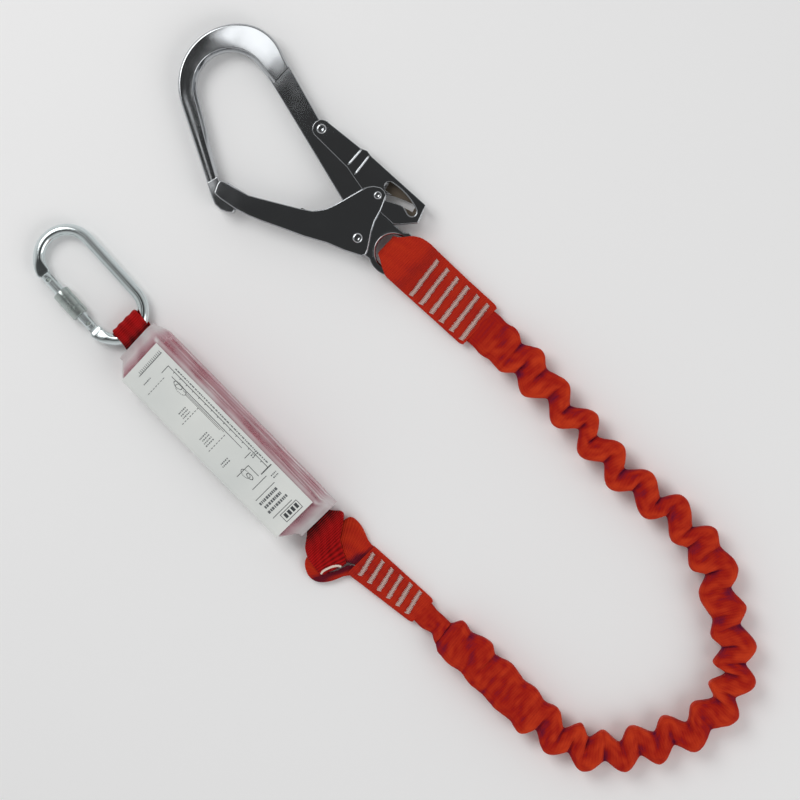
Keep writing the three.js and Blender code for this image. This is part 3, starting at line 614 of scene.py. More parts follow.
def gathers(table, runs):
    """Reach and phase of one side's gathers. The phase is 0 at a tip and pi in a hollow."""
    at = np.array([s for s, _ in table], dtype=float)
    reach = np.array([r for _, r in table])
    phase = np.interp(runs, at, pi * np.arange(len(at)))
    span = np.clip(np.searchsorted(at, runs, "right") - 1, 0, len(at) - 2)
    tip_first = span % 2 == 0
    tip = np.where(tip_first, reach[span], reach[span + 1])
    hollow = np.where(tip_first, reach[span + 1], reach[span])
    t = np.clip((runs - at[span]) / (at[span + 1] - at[span]), 0, 1)
    t = np.where(tip_first, 1 - t, t)
    bulge = 0.34 * np.sin(pi * t / 2) + 0.33 * (1 - np.cos(pi * t))
    return hollow + (tip - hollow) * bulge, phase, tip - hollow


LAP = [(0, -1), (0.05, 0.2), (0.14, 0.85), (0.3, 1), (0.55, 0.55), (0.8, -0.2), (0.94, -0.85), (1, -1)]
SIDES = 76  # points round the webbing
BELOW = 7.7  # how far its ends sink, to meet the sewn blocks: 1.4 more at the absorber
FARTHEST = 18.4  # from the route to any point


def lap(phase, forward):
    """Height of a gather that lies over its neighbour: 1 on its crown, -1 where it is tucked under."""
    p = ((phase + pi) / (2 * pi)) % 1.0
    return forward * np.interp(p, *zip(*LAP)) + (1 - forward) * np.interp(1 - p, *zip(*LAP))


def gathered_webbing():
    """The stretch webbing, bunched on its elastic, so that it bulges to either side by turns."""
    flat = Matrix.Scale(MM, 4)
    line = even(smooth_route(ROUTE), 0.001) * 1000
    runs = run_of(line)
    total = runs[-1]
    tangent = softened(np.gradient(line, axis=0), 60)
    tangent /= np.linalg.norm(tangent, axis=1)[:, None]
    right = np.stack([tangent[:, 1], -tangent[:, 0]], axis=1)
    outer_table, inner_table = gather_tables(random.Random(5))
    outer, outer_phase, outer_depth = gathers(outer_table, runs)
    inner, inner_phase, inner_depth = gathers(inner_table, runs)
    outer, inner = softened(outer, 3), softened(inner, 3)
    ends = np.clip(np.minimum(runs, total - runs) / 12, 0, 1)
    forward = smooth((runs - 150) / 180)
    outer_lap, inner_lap = lap(outer_phase, forward), lap(inner_phase, forward)
    centre = (outer - inner) / 2
    width = (outer + inner) / 2
    top = np.interp(runs, [0, 6, 14, 40, 110, 160, 330, 420, 640, total - 6, total],
                    [2.2, 3.2, 5, 7, 6.5, 5.5, 7, 6, 5, 3.4, 2.3])
    sink = (BELOW + 1.4) * (1 - smooth(runs / 40)) + BELOW * (1 - smooth((total - runs) / 40))
    tuck = 4 * smooth((runs - total + 8) / 8) - 4 * (1 - smooth(runs / 8))
    slant = 2.4 * (2 * forward - 1)
    widening = 0.03 + 0.06 * np.sin(pi * smooth((runs - 330) / 300))
    rings, painted_shades, cords = [], [], []
    for i, (x, y) in enumerate(line):
        ring = []
        for k in range(SIDES):
            a = 2 * pi * k / SIDES
            c, s = cos(a), sin(a)
            q = copysign(abs(c) ** 0.82, c)
            near_outer, near_inner = smooth((q + 0.5) / 1.4), smooth((0.5 - q) / 1.4)
            relief = near_outer * outer_lap[i] * min(1, outer_depth[i] / 8)
            relief += near_inner * inner_lap[i] * min(1, inner_depth[i] / 8)
            # Fine pleats and lumps, then the three ways that a point is moved: sideways, up and along.
            spot = Vector((0.11 * runs[i], 1.3 * q, s))
            pleat = sin(0.8 * runs[i] + slant[i] * q + 4 * noise.noise(spot))
            crisp = 1 - 2 * abs(pleat) ** 0.6 * (1 if pleat < 0 else -0.4)
            lump = 0.8 * noise.noise(spot * 1.7) + 0.2 * crisp * (1 - 0.5 * abs(q))
            side = centre[i] + width[i] * q + 0.35 * lump * ends[i]
            if s >= 0:
                high = (top[i] + ends[i] * (2.6 * relief + lump)) * s ** 0.42
            else:
                deep = min(12.4 - sink[i], top[i] + ends[i] * (4.5 + 0.8 * (relief + lump)))
                high = -deep * abs(s) ** 0.6
            high -= sink[i]
            along = near_outer * widening[i] * outer_depth[i] * sin(outer_phase[i])
            along += near_inner * widening[i] * inner_depth[i] * sin(inner_phase[i])
            along += 1.2 * relief * (1 - 2 * forward[i]) * abs(s)
            along = along * ends[i] + tuck[i]
            pull = min(1, FARTHEST / sqrt(side * side + high * high + along * along))
            across, ahead = right[i] * side * pull, tangent[i] * along * pull
            ring.append((x + across[0] + ahead[0], y + across[1] + ahead[1], TUBE_Z * 1000 + high * pull))
            # Painted shade and highlight: gathers tucked under their neighbours are darker, crowns lighter;
            # the lumps' share is partly random tone.
            painted_shades.append(0.5 + ends[i] * (0.34 * relief + 0.3 * lump))
            cords.append(smooth((abs(q) - 0.35) / 0.5))
        rings.append(ring)
    u = [CORD_PITCH * 26 * k / SIDES for k in range(SIDES + 1)]
    mesh = tint(tint(loft("webbing_tube", rings, flat, u, list(runs)), "painted_shade", painted_shades), "cord", cords)
    piece = finish("gathered_webbing", mesh, GATHERED, "elastic_webbing", 80)
    middles = softened(centre[:, None], 8)
    core = [(*(line[i] + right[i] * middles[i, 0]), TUBE_Z * 1000 - sink[i]) for i in range(0, len(line), 6)]
    mesh = sweep("elastic_strands", core, 1.6, flat, 12)
    strands = finish("elastic_strands", mesh, ELASTIC, "elastic_core", 60)


gathered_webbing()


# ================= Lanyard loops =================
def between(table):
    """A function through the table's (x, y) points, with its corners rounded off."""
    xs = np.arange(table[0][0], table[-1][0] + 0.25, 0.25)
    ys = softened(np.interp(xs, *zip(*table))[:, None], 60)[:, 0]
    return lambda x: float(np.interp(x, xs, ys))


def tacks(piece, node, where, first, pitch, length, width, turn, z):
    """Six bar tacks in a row, each a thread that zigzags over a narrow band."""
    count = int(length / 1.35)
    c, s = cos(radians(turn)), sin(radians(turn))
    for n in range(6):
        line = []
        for i in range(2 * count + 1):
            along = -length / 2 + length * i / (2 * count)
            side = width / 2 * (1 if i % 2 else -1) * random.uniform(0.8, 1.15)
            for lift, share in ((0.0, 1.0), (0.45, 0.5)):
                x = first[0] + pitch[0] * n + side * share * c - along * s
                y = first[1] + pitch[1] * n + side * share * s + along * c
                line.append((x, y, z + lift))
        mesh = sweep(piece, line, 0.44, where, 6)
        finish(f"{piece}_{n + 1}", mesh, THREAD, f"{node}_{n + 1}", 70)


def hook_loop():
    low = between([(-9, -9), (-4, -11), (2, -15), (9, -18.4), (25, -18.2), (60, -17.6), (90, -17.2),
                   (91.5, -15.8)])
    high = between([(-9, 9), (-4, 11.5), (3, 20), (9, 23.6), (17, 25), (60, 24.6), (90, 25), (91.5, 23.6)])
    line = trace((91.5, 7.2), (30, 7.1), (25.5, 9.6), (20.5, 15.0), (18, 16.0), (-1.8, 10, 6.0, 90, 270),
                 (22.5, 4.2), (91.5, 4.1))
    mesh = strap("hook_loop", softened(line, 4), low, high, 1.9, web, 0.16,
                 lambda x: max(0.0, 1 - max(0, x) / 26))
    finish("hook_end_webbing", mesh, ORANGE, "lanyard_hook_loop", 60)
    tacks("hook_tack_thread", "hook_end_tack", web, (32.5, 2), (10.7, 0.3), 35.5, 4.0, 5.5, 8.45)


hook_loop()


def absorber_ring():
    """The flat strap's bend: it runs round through the dark red loop, with a painted shadow where it passes
    under it.
    """
    outside = trace((50, 21.5), (41.5, 20.5), (34, 24), (27.5, 26), (18, 26.3), (14.8, 23), (14.4, 5),
                    (14.4, -24), (17.8, -29.5), (26.2, -33.7), (33.7, -33), (39.3, -28.5), (43.5, -22),
                    (47, -12.5), (50, -9.2), step=2.0)
    inside = trace((48, 0.4), (45, -0.8), (42.4, -2.2), (40.8, -3.4), (38.8, -5.4), (32.4, -25), (33, -26),
                   (34.5, -26.3), (36.2, -26.2), (37.2, -24), (38.8, -19), (41.2, -9), (42.2, -6),
                   (43.4, -4.2), (45.2, -2), (48, -0.4), step=1.0)
    outs, ins = spread(softened(outside, 3), 90), spread(softened(inside, 1), 90)
    rings, painted_shades = [], []
    for o, i in zip(outs, ins):
        span = np.linalg.norm(o - i)
        ring = []
        for a, h in strap_section(span / 2, 2.4, 12):
            x, y = i + (o - i) * ((a + span / 2) / span)
            rise = 0.35 * sin(a * 0.5) + 0.3 * ripple(x * 0.1, y * 0.1, 0)
            ring.append((x, y, 4.1 + h + 0.6 * rise))
            # Painted shadow: darker along the line where the strap dips under the loop.
            gap = hypot(x - 36 - 0.33 * (y + 24), 0.4 * min(0, y + 26))
            painted_shades.append(0.5 + 0.2 * rise - 0.55 * max(0, 1 - gap / 6))
        rings.append(ring)
    u = [a for a, _ in strap_section(9, 2.4, 12)]
    mesh = loft("absorber_loop_ring", rings, lower_end, u + u[:1], run_of((outs + ins) / 2))
    return tint(mesh, "painted_shade", painted_shades)


def absorber_end_loop():
    """The strap's bend and the sewn block it comes out of, in two layers."""
    low = between([(47, -9.6), (60, -7.6), (110.2, -0.6), (111.6, 0.8)])
    high = between([(47, 21.5), (60, 22.4), (110.2, 25.3), (111.6, 23.9)])
    lines = [softened(trace((47, z), (111.6, z)), 1) for z in (2.9, 5.5)]
    layers = [strap("absorber_loop_layer", line, low, high, 2.5, lower_end, 0.12) for line in lines]
    mesh = joined(absorber_ring(), *layers)
    finish("absorber_end_webbing", mesh, ORANGE, "lanyard_absorber_loop", 60)
    tacks("absorber_tack_thread", "absorber_end_tack", lower_end, (53, 7.2), (9.6, 1.1), 21, 3.8, 14, 7.0)


absorber_end_loop()


# ================= Absorber pack =================
FOLD_PITCH = 4.1  # from layer to layer of the tear webbing
# The card: how far it reaches to the right, and to the left up to its bend; the bend's radius and centre.
CARD_RIGHT = 22.6
CARD_LEFT = 21.3
CARD_BEND = 4.3
CARD_Z = 10.0


def upper_loop():
    low = between([(-14, -11), (-12, -13), (4, -13), (8, -14), (26, -14)])
    high = between([(-14, 11), (-12, 13), (4, 13), (8, 10), (26, 10)])
    line = trace((24.6, 20.3), (6, 20.2), (0, 16.3), (-4.3, 13.6), (-6.15, 7.2, 6.25, 90, 270),
                 (3, 4.2, 3.25, -90, 0), (6.2, 13), (7.4, 16.6), (10, 18.0), (24.6, 18.0))
    where = level @ Matrix.Translation((-107.5, 5.2, 0))
    # The shade argument paints a shadow on the loop towards the pack's mouth.
    mesh = strap("upper_loop", softened(line, 3), low, high, 1.7, where, 0.3,
                 shade=lambda x: -0.35 * smooth((x + 1) / 9))
    finish("absorber_upper_webbing", mesh, RED, "absorber_upper_loop", 60)


def lower_loop():
    low = between([(-16, -6.5), (0, -6.5), (4, -12), (9, -19), (16, -23.5), (30, -25.5), (36, -24)])
    high = between([(-16, 17.5), (0, 17.5), (2, 18), (7, 22.5), (11, 23), (15.7, 17), (25, 3.2), (31, -2.3),
                    (36, -5)])
    line = trace((-15.2, 21.0), (0.8, 20.9), (6, 16.4), (11.6, 10.4), (16.6, 7.7), (21, 7.1),
                 (31.5, 4.1, 3.0, 90, -90), (13.4, 1.15), (9.2, 3.6), (5.6, 10), (3, 15.6), (0.4, 18.9),
                 (-15.2, 18.9))
    # The shade argument paints a shadow on the flap where it comes out from the pack.
    mesh = strap("lower_loop", softened(line, 3), low, high, 1.8, lower_end, 0.25,
                 skew=lambda x, y: 0.33 * max(0.0, y + 24) * smooth((x - 22) / 10),
                 shade=lambda x: -0.45 * (1 - smooth((x + 1) / 13)))
    finish("absorber_lower_webbing", mesh, RED, "absorber_lower_loop", 60)
    edge = [(32.6, -24.4, 6.8), (32.0, -23.4, 7.8), (32.2, -21, 8.3), (33.6, -16.5, 8.5), (35.4, -12.4, 8.5),
            (38.0, -9.4, 8.0), (39.6, -9.2, 6.8)]
    mesh = sweep("edge_stitch", softened(even(np.array(edge), 0.6), 12),
                 lambda t: 0.95 + 0.08 * sin(60 * t), lower_end, 10)
    finish("absorber_edge_thread", mesh, WHITE_THREAD, None, 70)


def rounded(half_w, low, high, mid, r):
    """A rounded rectangle in YZ, as evenly spaced points."""
    points = []
    for cy, cz, start in ((half_w - r, high - r, 0), (r - half_w, high - r, 90), (r - half_w, low + r, 180),
                          (half_w - r, low + r, 270)):
        points += arc(mid + cy, cz, r, start, start + 90, 8)
    return spread(np.array(points + points[:1]), 133)[:-1]


def cover_rings(inset):
    """The shrink sleeve's rings, and how milky each point is: at its necks and between the folded layers, and
    along its upper edges, where it is a painted highlight.
    """
    xs = [-99.6, -98, -96.4, -93, -90, -87.5, -86, -84] + list(range(-80, 88, 5))
    xs += [90, 92, 94, 97, 100, 102, 104]
    half = between([(-96.4, 19.5), (-91, 22.6), (-86, 24.8), (90, 24.8), (96, 22.4), (100.8, 19.5)])
    low = between([(-96.4, -12.5), (-86, -13.8), (90, -13.8), (100.8, -12.5)])
    high = between([(-96.4, 4.5), (-86, 13.6), (92, 13.6), (100.8, 4.5)])
    mid = between([(-96.4, 1.7), (-86, 0), (92, 0), (100.8, 5.5)])
    rings, haze_and_highlight = [], []
    for x in xs:
        neck = min(1, max(0, -84 - x, x - 90) / 9)
        ring = []
        for y, z in rounded(half(x) - inset, low(x) + inset, high(x) - inset, mid(x), 4 - inset):
            across = abs(y - mid(x)) / half(x)
            drawn_in = min(1.0, max(0.1, 0.55 + 1.1 * ripple(x * 0.02, 9.0, z * 0.3)))
            fold_z = z + 1.1 * ripple(x * 0.025, 5.0, z * 0.18)
            gap = drawn_in * (0.5 + 0.5 * cos(2 * pi * fold_z / FOLD_PITCH))
            side = smooth((across - 0.8) / 0.15) * smooth((12 - abs(z)) / 3) * (1 - neck)
            pleat = (0.2 + 0.9 * neck) * ripple(x * 0.035, y * 0.16, z * 0.16) - 0.45 * side * gap
            # Painted highlight: the film turns milky along its upper edges only, where light catches it.
            edge = smooth((across - 0.82) / 0.12) * smooth((z - 9) / 3)
            out = hypot(y - mid(x), z) or 1
            ring.append((x, y + pleat * (y - mid(x)) / out, z + pleat * z / out))
            milk_and_highlight = 0.26 + 0.42 * edge + 0.46 * neck + side * (0.12 + 0.5 * gap ** 1.5)
            haze_and_highlight.append(milk_and_highlight + 0.18 * ripple(x * 0.05, y * 0.09, z * 0.09))
        rings.append(ring)
    return rings, haze_and_highlight


def pack_cover():
    outer, haze_and_highlight = cover_rings(0)
    inner, inner_haze_and_highlight = cover_rings(0.8)
    count = len(outer[0])
    for at in range(len(inner_haze_and_highlight) - count, -1, -count):
        haze_and_highlight += inner_haze_and_highlight[at:at + count]
    mesh = tint(loft("cover", outer + inner[::-1], pack, closed=True), "haze_and_highlight", haze_and_highlight)
    finish("absorber_sleeve_film", mesh, FILM, "absorber_cover", 80)


def folded_core():
    """The tear webbing, folded to and fro."""
    legs = []
    layers = 6
    for i in range(layers):
        z = FOLD_PITCH * ((layers - 1) / 2 - i)
        start, end, last_angle = (-80, 86, -90) if i % 2 == 0 else (86, -80, 270)
        legs += [(start, z), (end, z)]
        if i < layers - 1:
            legs.append((end, z - FOLD_PITCH / 2, FOLD_PITCH / 2, 90, last_angle))
    mesh = strap("core", trace(*legs, step=4), lambda x: -22, lambda x: 22, 3.3, pack, columns=8)
    finish("absorber_folded_webbing", mesh, CORE_RED, "absorber_tear_webbing", 60)


def label_point(x, s, lift):
    """A point on the label: x along the pack, s from the top face's right edge round the left side."""
    flat = CARD_RIGHT + CARD_LEFT
    bend = pi / 2 * CARD_BEND
    if s < flat:
        return (x, CARD_RIGHT - s, CARD_Z + CARD_BEND + lift)
    if s < flat + bend:
        angle = 90 + degrees((s - flat) / CARD_BEND)
        return (x, *polar((-CARD_LEFT, CARD_Z), CARD_BEND + lift, angle))
    return (x, -CARD_LEFT - CARD_BEND - lift, CARD_Z - (s - flat - bend))


def card_wave(x):
    return 0.1 * sin(x * 0.06)


def label():
    spans = [0, 0.4] + [i * 3.3 for i in range(1, 14)] + [43.9 + 6.75 * i / 6 for i in range(7)]
    spans += [53, 57, 61, 65, 65.6]
    rings = []
    for x in np.linspace(-85, 90.7, 30):
        outer = [label_point(x, s, 0.38 + card_wave(x)) for s in spans]
        rings.append(outer + [label_point(x, s, 0.02 + card_wave(x)) for s in spans[::-1]])
    finish("absorber_card", loft("card", rings, pack), CARD, "absorber_label", 40)


def strokes(name, marks, material):
    """Printed bars on the label. A mark is x, s, length along x and length along s."""
    points, faces = [], []
    for x, s, dx, ds in marks:
        steps = max(1, int(ds / 3))
        for k in range(steps + 1):
            for corner, lift in ((x, 0.44), (x + dx, 0.44), (x + dx, 0.3), (x, 0.3)):
                points.append(label_point(corner, s + ds * k / steps, lift + card_wave(x)))
        base = len(points) - 4 * (steps + 1)
        for k in range(base, base + 4 * steps, 4):
            faces += [(k + j, k + (j + 1) % 4, k + 4 + (j + 1) % 4, k + 4 + j) for j in range(4)]
        faces += [(base, base + 1, base + 2, base + 3), tuple(range(len(points) - 4, len(points)))]
    finish(name, outward(mesh_of(name, points, faces, pack)), material, None, 40)


def ticks_along(rng, x, end, s, small, large, thick):
    """A broken line of bars along x."""
    marks = []
    while x < end:
        size = rng.uniform(small, large)
        marks.append((x, s, size, thick))
        x += size + rng.uniform(0.5, 0.9)
    return marks


def ticks_across(rng, x, *row):
    """A broken line of bars across the label, at x; `row` is as for ticks_along."""
    start, end, *sizes = row
    marks = ticks_along(rng, start, end, x, *sizes)
    return [(at, s, thick, size) for s, at, size, thick in marks]


def ellipse_marks(x, s, rx, rs):
    """A thin ellipse made of short bars."""
    turns = [2 * pi * k / 22 for k in range(22)]
    return [(x + rx * cos(a), s + rs * sin(a), 0.7, 0.55) for a in turns]


def label_print():
    """A generic print: a ruled edge, a line drawing, dashes, rows of bars and a box of plain bars."""
    rng = random.Random(11)
    thin = 0.5
    drawing = [(-77, 2.5, thin, 30)] + [(-79.6, 3 + 1.9 * i, 2.6, 0.45) for i in range(15)]
    drawing += [(-66, 6.4, 112, thin), (-66, 6.4, thin, 9), (-58, 11, 86, thin), (46, 2.5, 0.9, 13)]
    drawing += [(28, 8, thin, 8)]
    drawing += [(-66 + 7 * i, 6.4, thin, 1.7) for i in range(17)]
    for x, start in ((-62, 17), (-26, 14), (4, 14)):
        drawing += [(x, start + 3.2 * i, thin, 1.9) for i in range(7)]
    drawing += [(34, 18, thin, 15), (34, 18, 12, thin)]
    drawing += [(x, s, thin, ds) for x, s, ds in ((50, 13, 18), (58, 12, 24), (77.5, 12, 24))]
    drawing += ellipse_marks(-50, 12.5, 4.2, 2.3) + ellipse_marks(-46, 13.5, 5.5, 3.0)
    drawing += ellipse_marks(37, 25, 4.6, 2.6) + ellipse_marks(41, 24, 3.2, 1.8)
    drawing += [(-44, 12.6, 60, 0.35), (-40, 13.8, 52, 0.35)]
    drawing += [(79.8, 9, 7.4, thin), (79.8, 29, 7.4, thin), (79.8, 9, thin, 20), (87.2, 9, thin, 20.4)]
    drawing += [(81.4, 11 + 4.4 * i, 4.2, 2.9) for i in range(4)]
    strokes("label_drawing", drawing, INK)
    fine = ticks_along(rng, -60, 44, 3.4, 0.8, 2.6, 1.0)
    for first, count, s in ((-70, 1, 26), (-34, 3, 22), (-8, 4, 24), (18, 2, 27)):
        for x in (first + 2.5 * i for i in range(count)):
            fine += ticks_across(rng, x, s, s + 9, 0.6, 1.6, 1.0)
    for x in (52.4, 54.8, 30, 32):
        fine += ticks_across(rng, x, 4, 10.5, 0.6, 1.5, 1.0)
    for x in (61.5, 66.2, 71):
        fine += ticks_across(rng, x, 12 + rng.uniform(0, 3), 35, 0.9, 2.4, 2.4)
    for row in range(5):
        fine += ticks_along(rng, -70, 30 + 8 * row, 50 + 2.5 * row, 1.0, 3.4, 0.8)
    strokes("label_ticks", fine, PALE_INK)


upper_loop()
lower_loop()
pack_cover()
folded_core()
label()
label_print()


# ================= Karabiner =================
def karabiner_body():
    """The bent bar, flattened where it was forged at its ends, and the two tangs that the gate works on."""
    line = trace((-BOW_X, 0, BOW_R, 264.5, 90), (BOW_X, 0, BOW_R, 90, -90), step=1.6)
    runs = run_of(line)
    last = len(line) - 1
    rings = []
    for i, p in enumerate(line):
        t = line[min(last, i + 1)] - line[max(0, i - 1)]
        t /= np.linalg.norm(t)
        forged = 1 - smooth(min(runs[i], runs[-1] - runs[i]) / 15)
        tip = 0.88 if i in (0, last) else 1.0
        wide, high, power = BAR_R + 0.9 * forged, BAR_R - 1.5 * forged, 2 / (2 + 4 * forged)
        ring = []
        for k in range(36):
            c, s = cos(pi * k / 18), sin(pi * k / 18)
            side = tip * wide * copysign(abs(c) ** power, c)
            up = tip * high * copysign(abs(s) ** power, s)
            ring.append((p[0] + t[1] * side, p[1] - t[0] * side, up))
        rings.append(ring)
    nose = [(-34, -25.9), (-22.4, -25.9), (-21.6, -25.1), (-21.6, -19.9), (-22.4, -19.1), (-23.45, -19.1)]
    nose += arc(LATCH_X, BAR_Y, 2.05, 0, -180, 9) + [(-27.55, -19.1), (-34, -19.1)]
    tail = [(31, -18.9)] + arc(HINGE_X, BAR_Y, 4, 90, 270, 12) + [(31, -26.1)]
    tangs = [eased(solid("tang", outline, -2, 2, karabiner), 0.35, 2) for outline in (nose, tail)]
    mesh = joined(loft("bar", rings, karabiner), *tangs)
    finish("karabiner_bar", mesh, ZINC, "karabiner_body", 32, "karabiner")


def karabiner_sleeve():
    """The locking sleeve: three bands between turned grooves, with bevelled rims."""
    profile = mirrored([(4.9, -12.6), (6.2, -12.6), (6.85, -12.2), (7.05, -11.5), (7.1, -6.2), (6.6, -5.85),
                        (6.6, -4.95), (7.1, -4.6)])
    mesh = lathe("sleeve", profile, karabiner, 56, (0, BAR_Y), "X")
    finish("karabiner_sleeve", mesh, DULL_ZINC, "karabiner_screw_sleeve", 35, "karabiner_sleeve")


def karabiner_pins():
    for node, x, r, half, body in (("karabiner_gate_rivet", HINGE_X, 1.6, 4.55, "karabiner"),
                                   ("karabiner_latch_pin", LATCH_X, 1.5, 4.3, "karabiner_gate")):
        profile = mirrored([(0, -half), (r * 0.7, -half + 0.05), (r, -half + 0.5)])
        mesh = lathe(node, profile, karabiner, 24, (x, BAR_Y))
        finish(node + "_turned", mesh, DULL_ZINC, node, 40, body)


karabiner_body()
karabiner_sleeve()
karabiner_pins()
gate_bar = refined("karabiner_gate", 0.3, 2)
shaded("karabiner_gate_bar", gate_bar, ZINC, "karabiner_gate", "karabiner_gate")
for hidden in ("karabiner_gate_spring", "karabiner_plunger", "hook_gate_spring", "hook_lever_spring"):
    dress(frame["nodes"][hidden].data, SPRING)


# ================= Scaffold hook =================
def hook_arch():
    """The thick bend of the hook: flat faces, a chamfer along the inner edge and a rounded outer edge."""
    inner = [(163.5, 13.4), (172, 14.4)] + arc(180, 43, 27.5, -80, 76, 40) + [(119.9, 89.8)]
    outer = [(169, -4.9), (178, -5.4)] + arc(187.6, 30.3, 36.6, -95, -35, 12)
    outer = even(np.array(outer + arc(178, 37, 48.3, -35, 77, 30) + [(110.9, 101.9)]), 2.2)
    ins = spread(even(np.array(inner), 2.2), 110)
    # Each outer point lies square across the arch from its inner one, as far as the bends allow.
    runs = run_of(outer)
    share = run_of(ins) / run_of(ins)[-1]
    at = np.interp(share, [0, 0.055, 0.5, 0.63, 1.0], [0, 0.045, 0.56, 0.66, 1.0]) * runs[-1]
    outs = np.stack([np.interp(at, runs, outer[:, k]) for k in (0, 1)], axis=1)
    rings = []
    for i, o in zip(ins, outs):
        width = np.linalg.norm(o - i)
        d = (o - i) / width
        section = mirrored([(0.0, 2.2), (0.2, 3.0), (0.6, 3.5), (2.5, 6.1), (2.9, 6.5), (3.5, ARCH_HALF),
                            (width - 2.0, ARCH_HALF), (width - 1.1, 6.5), (width - 0.35, 5.8), (width, 4.6)])
        rings.append([(*(i + d * s), z) for s, z in section])
    return loft("arch", rings, hook)


def hook_shank():
    """The flat shank with its eye, the turned lip of the eye, and the boss that the lever turns on."""
    outline = arc(0, 0, 19.8, -72, -285, 40) + arc(*GATE_AXIS, 10, 150, 35, 14)
    outline += [(38, 17), (50, 13.4), (172, 13.6), (174, 4), (172, -5.2), (122.8, -3.9), (60, -5.5),
                (31.7, -7.7), (18.5, -11.7), (8.5, -15.2)]
    hole = solid("hole", arc(0, 0, EYE_R + 0.8, 0, 352.5, 47), -9, 9, hook)
    shank = eased(cut(solid("shank", outline, -SHANK_HALF, SHANK_HALF, hook), hole), 0.8)
    lip = mirrored([(EYE_R + 2.6, -4.55), (EYE_R + 1.2, -4.75), (EYE_R + 0.3, -4.2), (EYE_R, -3.0)])
    boss = mirrored([(0, -6), (5.6, -6), (6, -5.6)])
    return shank, lathe("lip", lip, hook, 72), lathe("boss", boss, hook, 32, LEVER_AXIS)


def hook_nose():
    outline = [(93.1, 91.5), (92.5, 93.9), (95, 97.2), (99.5, 100.9), (105.5, 102.6), (110.9, 101.9),
               (124, 98.9), (124, 88.6), (120.5, 89.7), (114.5, 88.4), (104.5, 82.6)]
    return eased(solid("nose", outline, -ARCH_HALF - 0.06, ARCH_HALF + 0.06, hook), 1.2, 4)


def hook_body():
    whole = smoothed(joined(hook_arch(), *hook_shank(), hook_nose()), 50)
    whole = with_modifiers(whole, ("WEIGHTED_NORMAL", {"keep_sharp": True, "weight": 90}))
    shaded("hook_forging", whole, CHROME, "hook_body", "hook")


def dimpled_rivet(name, node, at, head, half, body):
    profile = mirrored([(0, -half + 0.5), (head * 0.35, -half + 0.25), (head * 0.6, -half),
                        (head * 0.9, -half + 0.25), (head, -half + 0.7), (head * 0.75, -half + 0.75)],
                       (head * 0.7, 0))
    finish(name, lathe(name, profile, hook, 32, at), CHROME, node, 50, body)


def turned(point, axis, angle):
    c, s = cos(radians(angle)), sin(radians(angle))
    x, y = point[0] - axis[0], point[1] - axis[1]
    return axis[0] + c * x - s * y, axis[1] + s * x + c * y


def pin_track(half):
    """The outline that the lock pin sweeps in the lever as the gate opens, `half` wide on either side."""
    middle_line = []
    for i in range(27):
        open_by = -5 + 48 * i / 26
        at_pin = turned(LOCK_PIN, GATE_AXIS, -open_by)
        middle_line.append(turned(at_pin, LEVER_AXIS, LEVER_SHARE * open_by))
    line = np.array(middle_line)
    ahead = np.gradient(line, axis=0)
    ahead /= np.linalg.norm(ahead, axis=1)[:, None]
    side = np.stack([-ahead[:, 1], ahead[:, 0]], axis=1) * half
    return [tuple(p) for p in np.concatenate([line + side, (line - side)[::-1]])]


def lever_details():
    """Ridges where the lever's cheeks step outwards, the rolled lip of its slot, and a brownish sheet under
    the slot that stands in for the shade seen down it.
    """
    details = []
    for side in (1, -1):
        for low, high, z in (((68.2, -5.4), (75.4, -24.0), 6.5), ((77.4, -4.8), (82.6, -21.2), 8.0)):
            line = [(*xy, side * z) for xy in np.linspace(low, high, 13)]
            radius = lambda u: 0.85 * min(1, 0.3 + 6 * u, 0.3 + 6 * (1 - u))
            details.append(sweep("ridge", line, radius, hook, 14))
        lip = [polar(GATE_AXIS, 52.2, a) for a in range(-62, -96, -2)]
        lip += arc(*polar(GATE_AXIS, 48, -95), 4.2, -95, -275, 8)[1:8]
        lip += [polar(GATE_AXIS, 43.8, a) for a in range(-95, -87, 2)]
        details.append(sweep("lip", [(*xy, side * 6.5) for xy in lip], 0.5, hook, 12))
    finish("hook_lever_ridges", joined(*details), CHROME, None, 70, "hook_lever")
    # Painted shade: a sheet under the slot, open only along the pin's track, so the slot looks narrow and
    # dark.
    shade_sheet = arc(*GATE_AXIS, 53, -60, -100, 10) + arc(*GATE_AXIS, 43, -100, -60, 10)
    mesh = cut(solid("shade_sheet", shade_sheet, -5.7, -4.62, hook), solid("track", pin_track(2.9), -9, 9, hook))
    finish("hook_lever_slot_shade", mesh, SLOT_SHADE, None, 30, "hook_lever")


hook_body()
shaded("hook_gate_stamping", refined("hook_gate", 0.8), CHROME, "hook_gate", "hook_gate")
shaded("hook_lever_stamping", refined("hook_lever", 0.45), CHROME, "hook_lever", "hook_lever")
lever_details()
dimpled_rivet("gate_pivot_rivet", "hook_gate_rivet", GATE_AXIS, 3.9, 9.8, "hook")
dimpled_rivet("lever_pivot_rivet", "hook_lever_rivet", LEVER_AXIS, 3.9, 9.2, "hook")
dimpled_rivet("lock_pin_turned", "hook_lock_pin", LOCK_PIN, 3.1, 9.8, "hook_gate")


# ================= Studio =================
FLOOR_HALF = 20.0


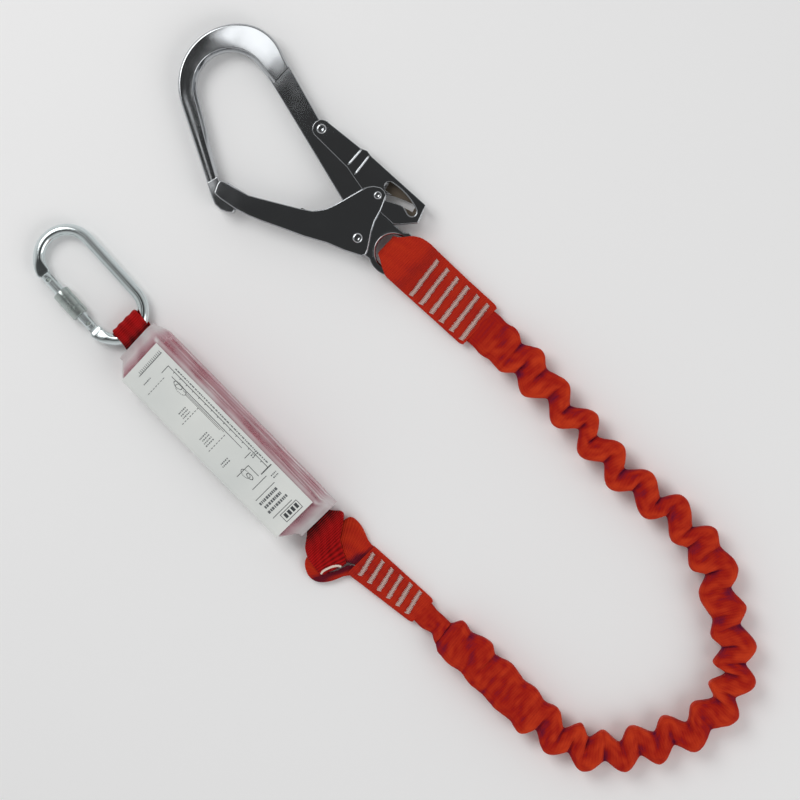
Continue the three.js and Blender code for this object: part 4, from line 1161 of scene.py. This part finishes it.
def floor():
    mesh = bpy.data.meshes.new("floor")
    corners = [(x * FLOOR_HALF, y * FLOOR_HALF, 0) for x, y in ((-1, -1), (1, -1), (1, 1), (-1, 1))]
    mesh.from_pydata(corners, [], [(0, 1, 2, 3)])
    dress(mesh, Look("pale_floor", (0.95, 0.95, 0.95, 1), 0.9, Specular_IOR_Level=0.1).material)
    in_scene("floor", mesh)


def lamp(name, at, target, size, power, turn=0):
    light = bpy.data.lights.new(name, "AREA")
    light.shape = "RECTANGLE"
    light.size, light.size_y = size
    light.energy = power
    holder = in_scene(name, light)
    holder.location = at
    aim = Vector(target) - Vector(at)
    facing = aim.to_track_quat("-Z", "Y").to_matrix() @ Matrix.Rotation(radians(turn), 3, "Z")
    holder.rotation_euler = facing.to_euler()


def sky():
    """A pale room, dark straight overhead, so that flat steel looks dark."""
    world = bpy.data.worlds.new("studio")
    scene.world = world
    world.use_nodes = True
    tree = world.node_tree
    split = tree.nodes.new("ShaderNodeSeparateXYZ")
    tree.links.new(tree.nodes.new("ShaderNodeTexCoord").outputs["Generated"], split.inputs[0])
    levels = ((0, 0.9), (0.45, 0.75), (0.8, 0.5), (0.93, 0.08), (1, 0.065))
    stops = [(at, (v, v, v, 1)) for at, v in levels]
    background = tree.nodes["Background"]
    tree.links.new(ramp(tree, split.outputs["Z"], stops), background.inputs["Color"])
    background.inputs["Strength"].default_value = 0.82


floor()
sky()
lamp("key", (-0.9, 0.9, 1.6), (0.1, -0.05, 0), (1.1, 1.1), 15.5)
lamp("fill", (1.5, -0.9, 1.3), (0.1, -0.05, 0), (1.4, 1.4), 10.5)
# Small lamps overhead, each shining straight down, where its reflection lights one stretch of steel.
for name, x, y, size, power, turn in (
    ("crown", -0.227, 0.61, (0.17, 0.18), 0.18, 30),
    ("ring", -0.54, 0.106, (0.2, 0.3), 0.22, 0),
    ("leg", -0.372, 0.372, (0.05, 0.19), 0.022, 20),
):
    lamp(name, (x, y, 2.4), (x, y, 0), size, power, turn)
scene.view_settings.view_transform = "Standard"
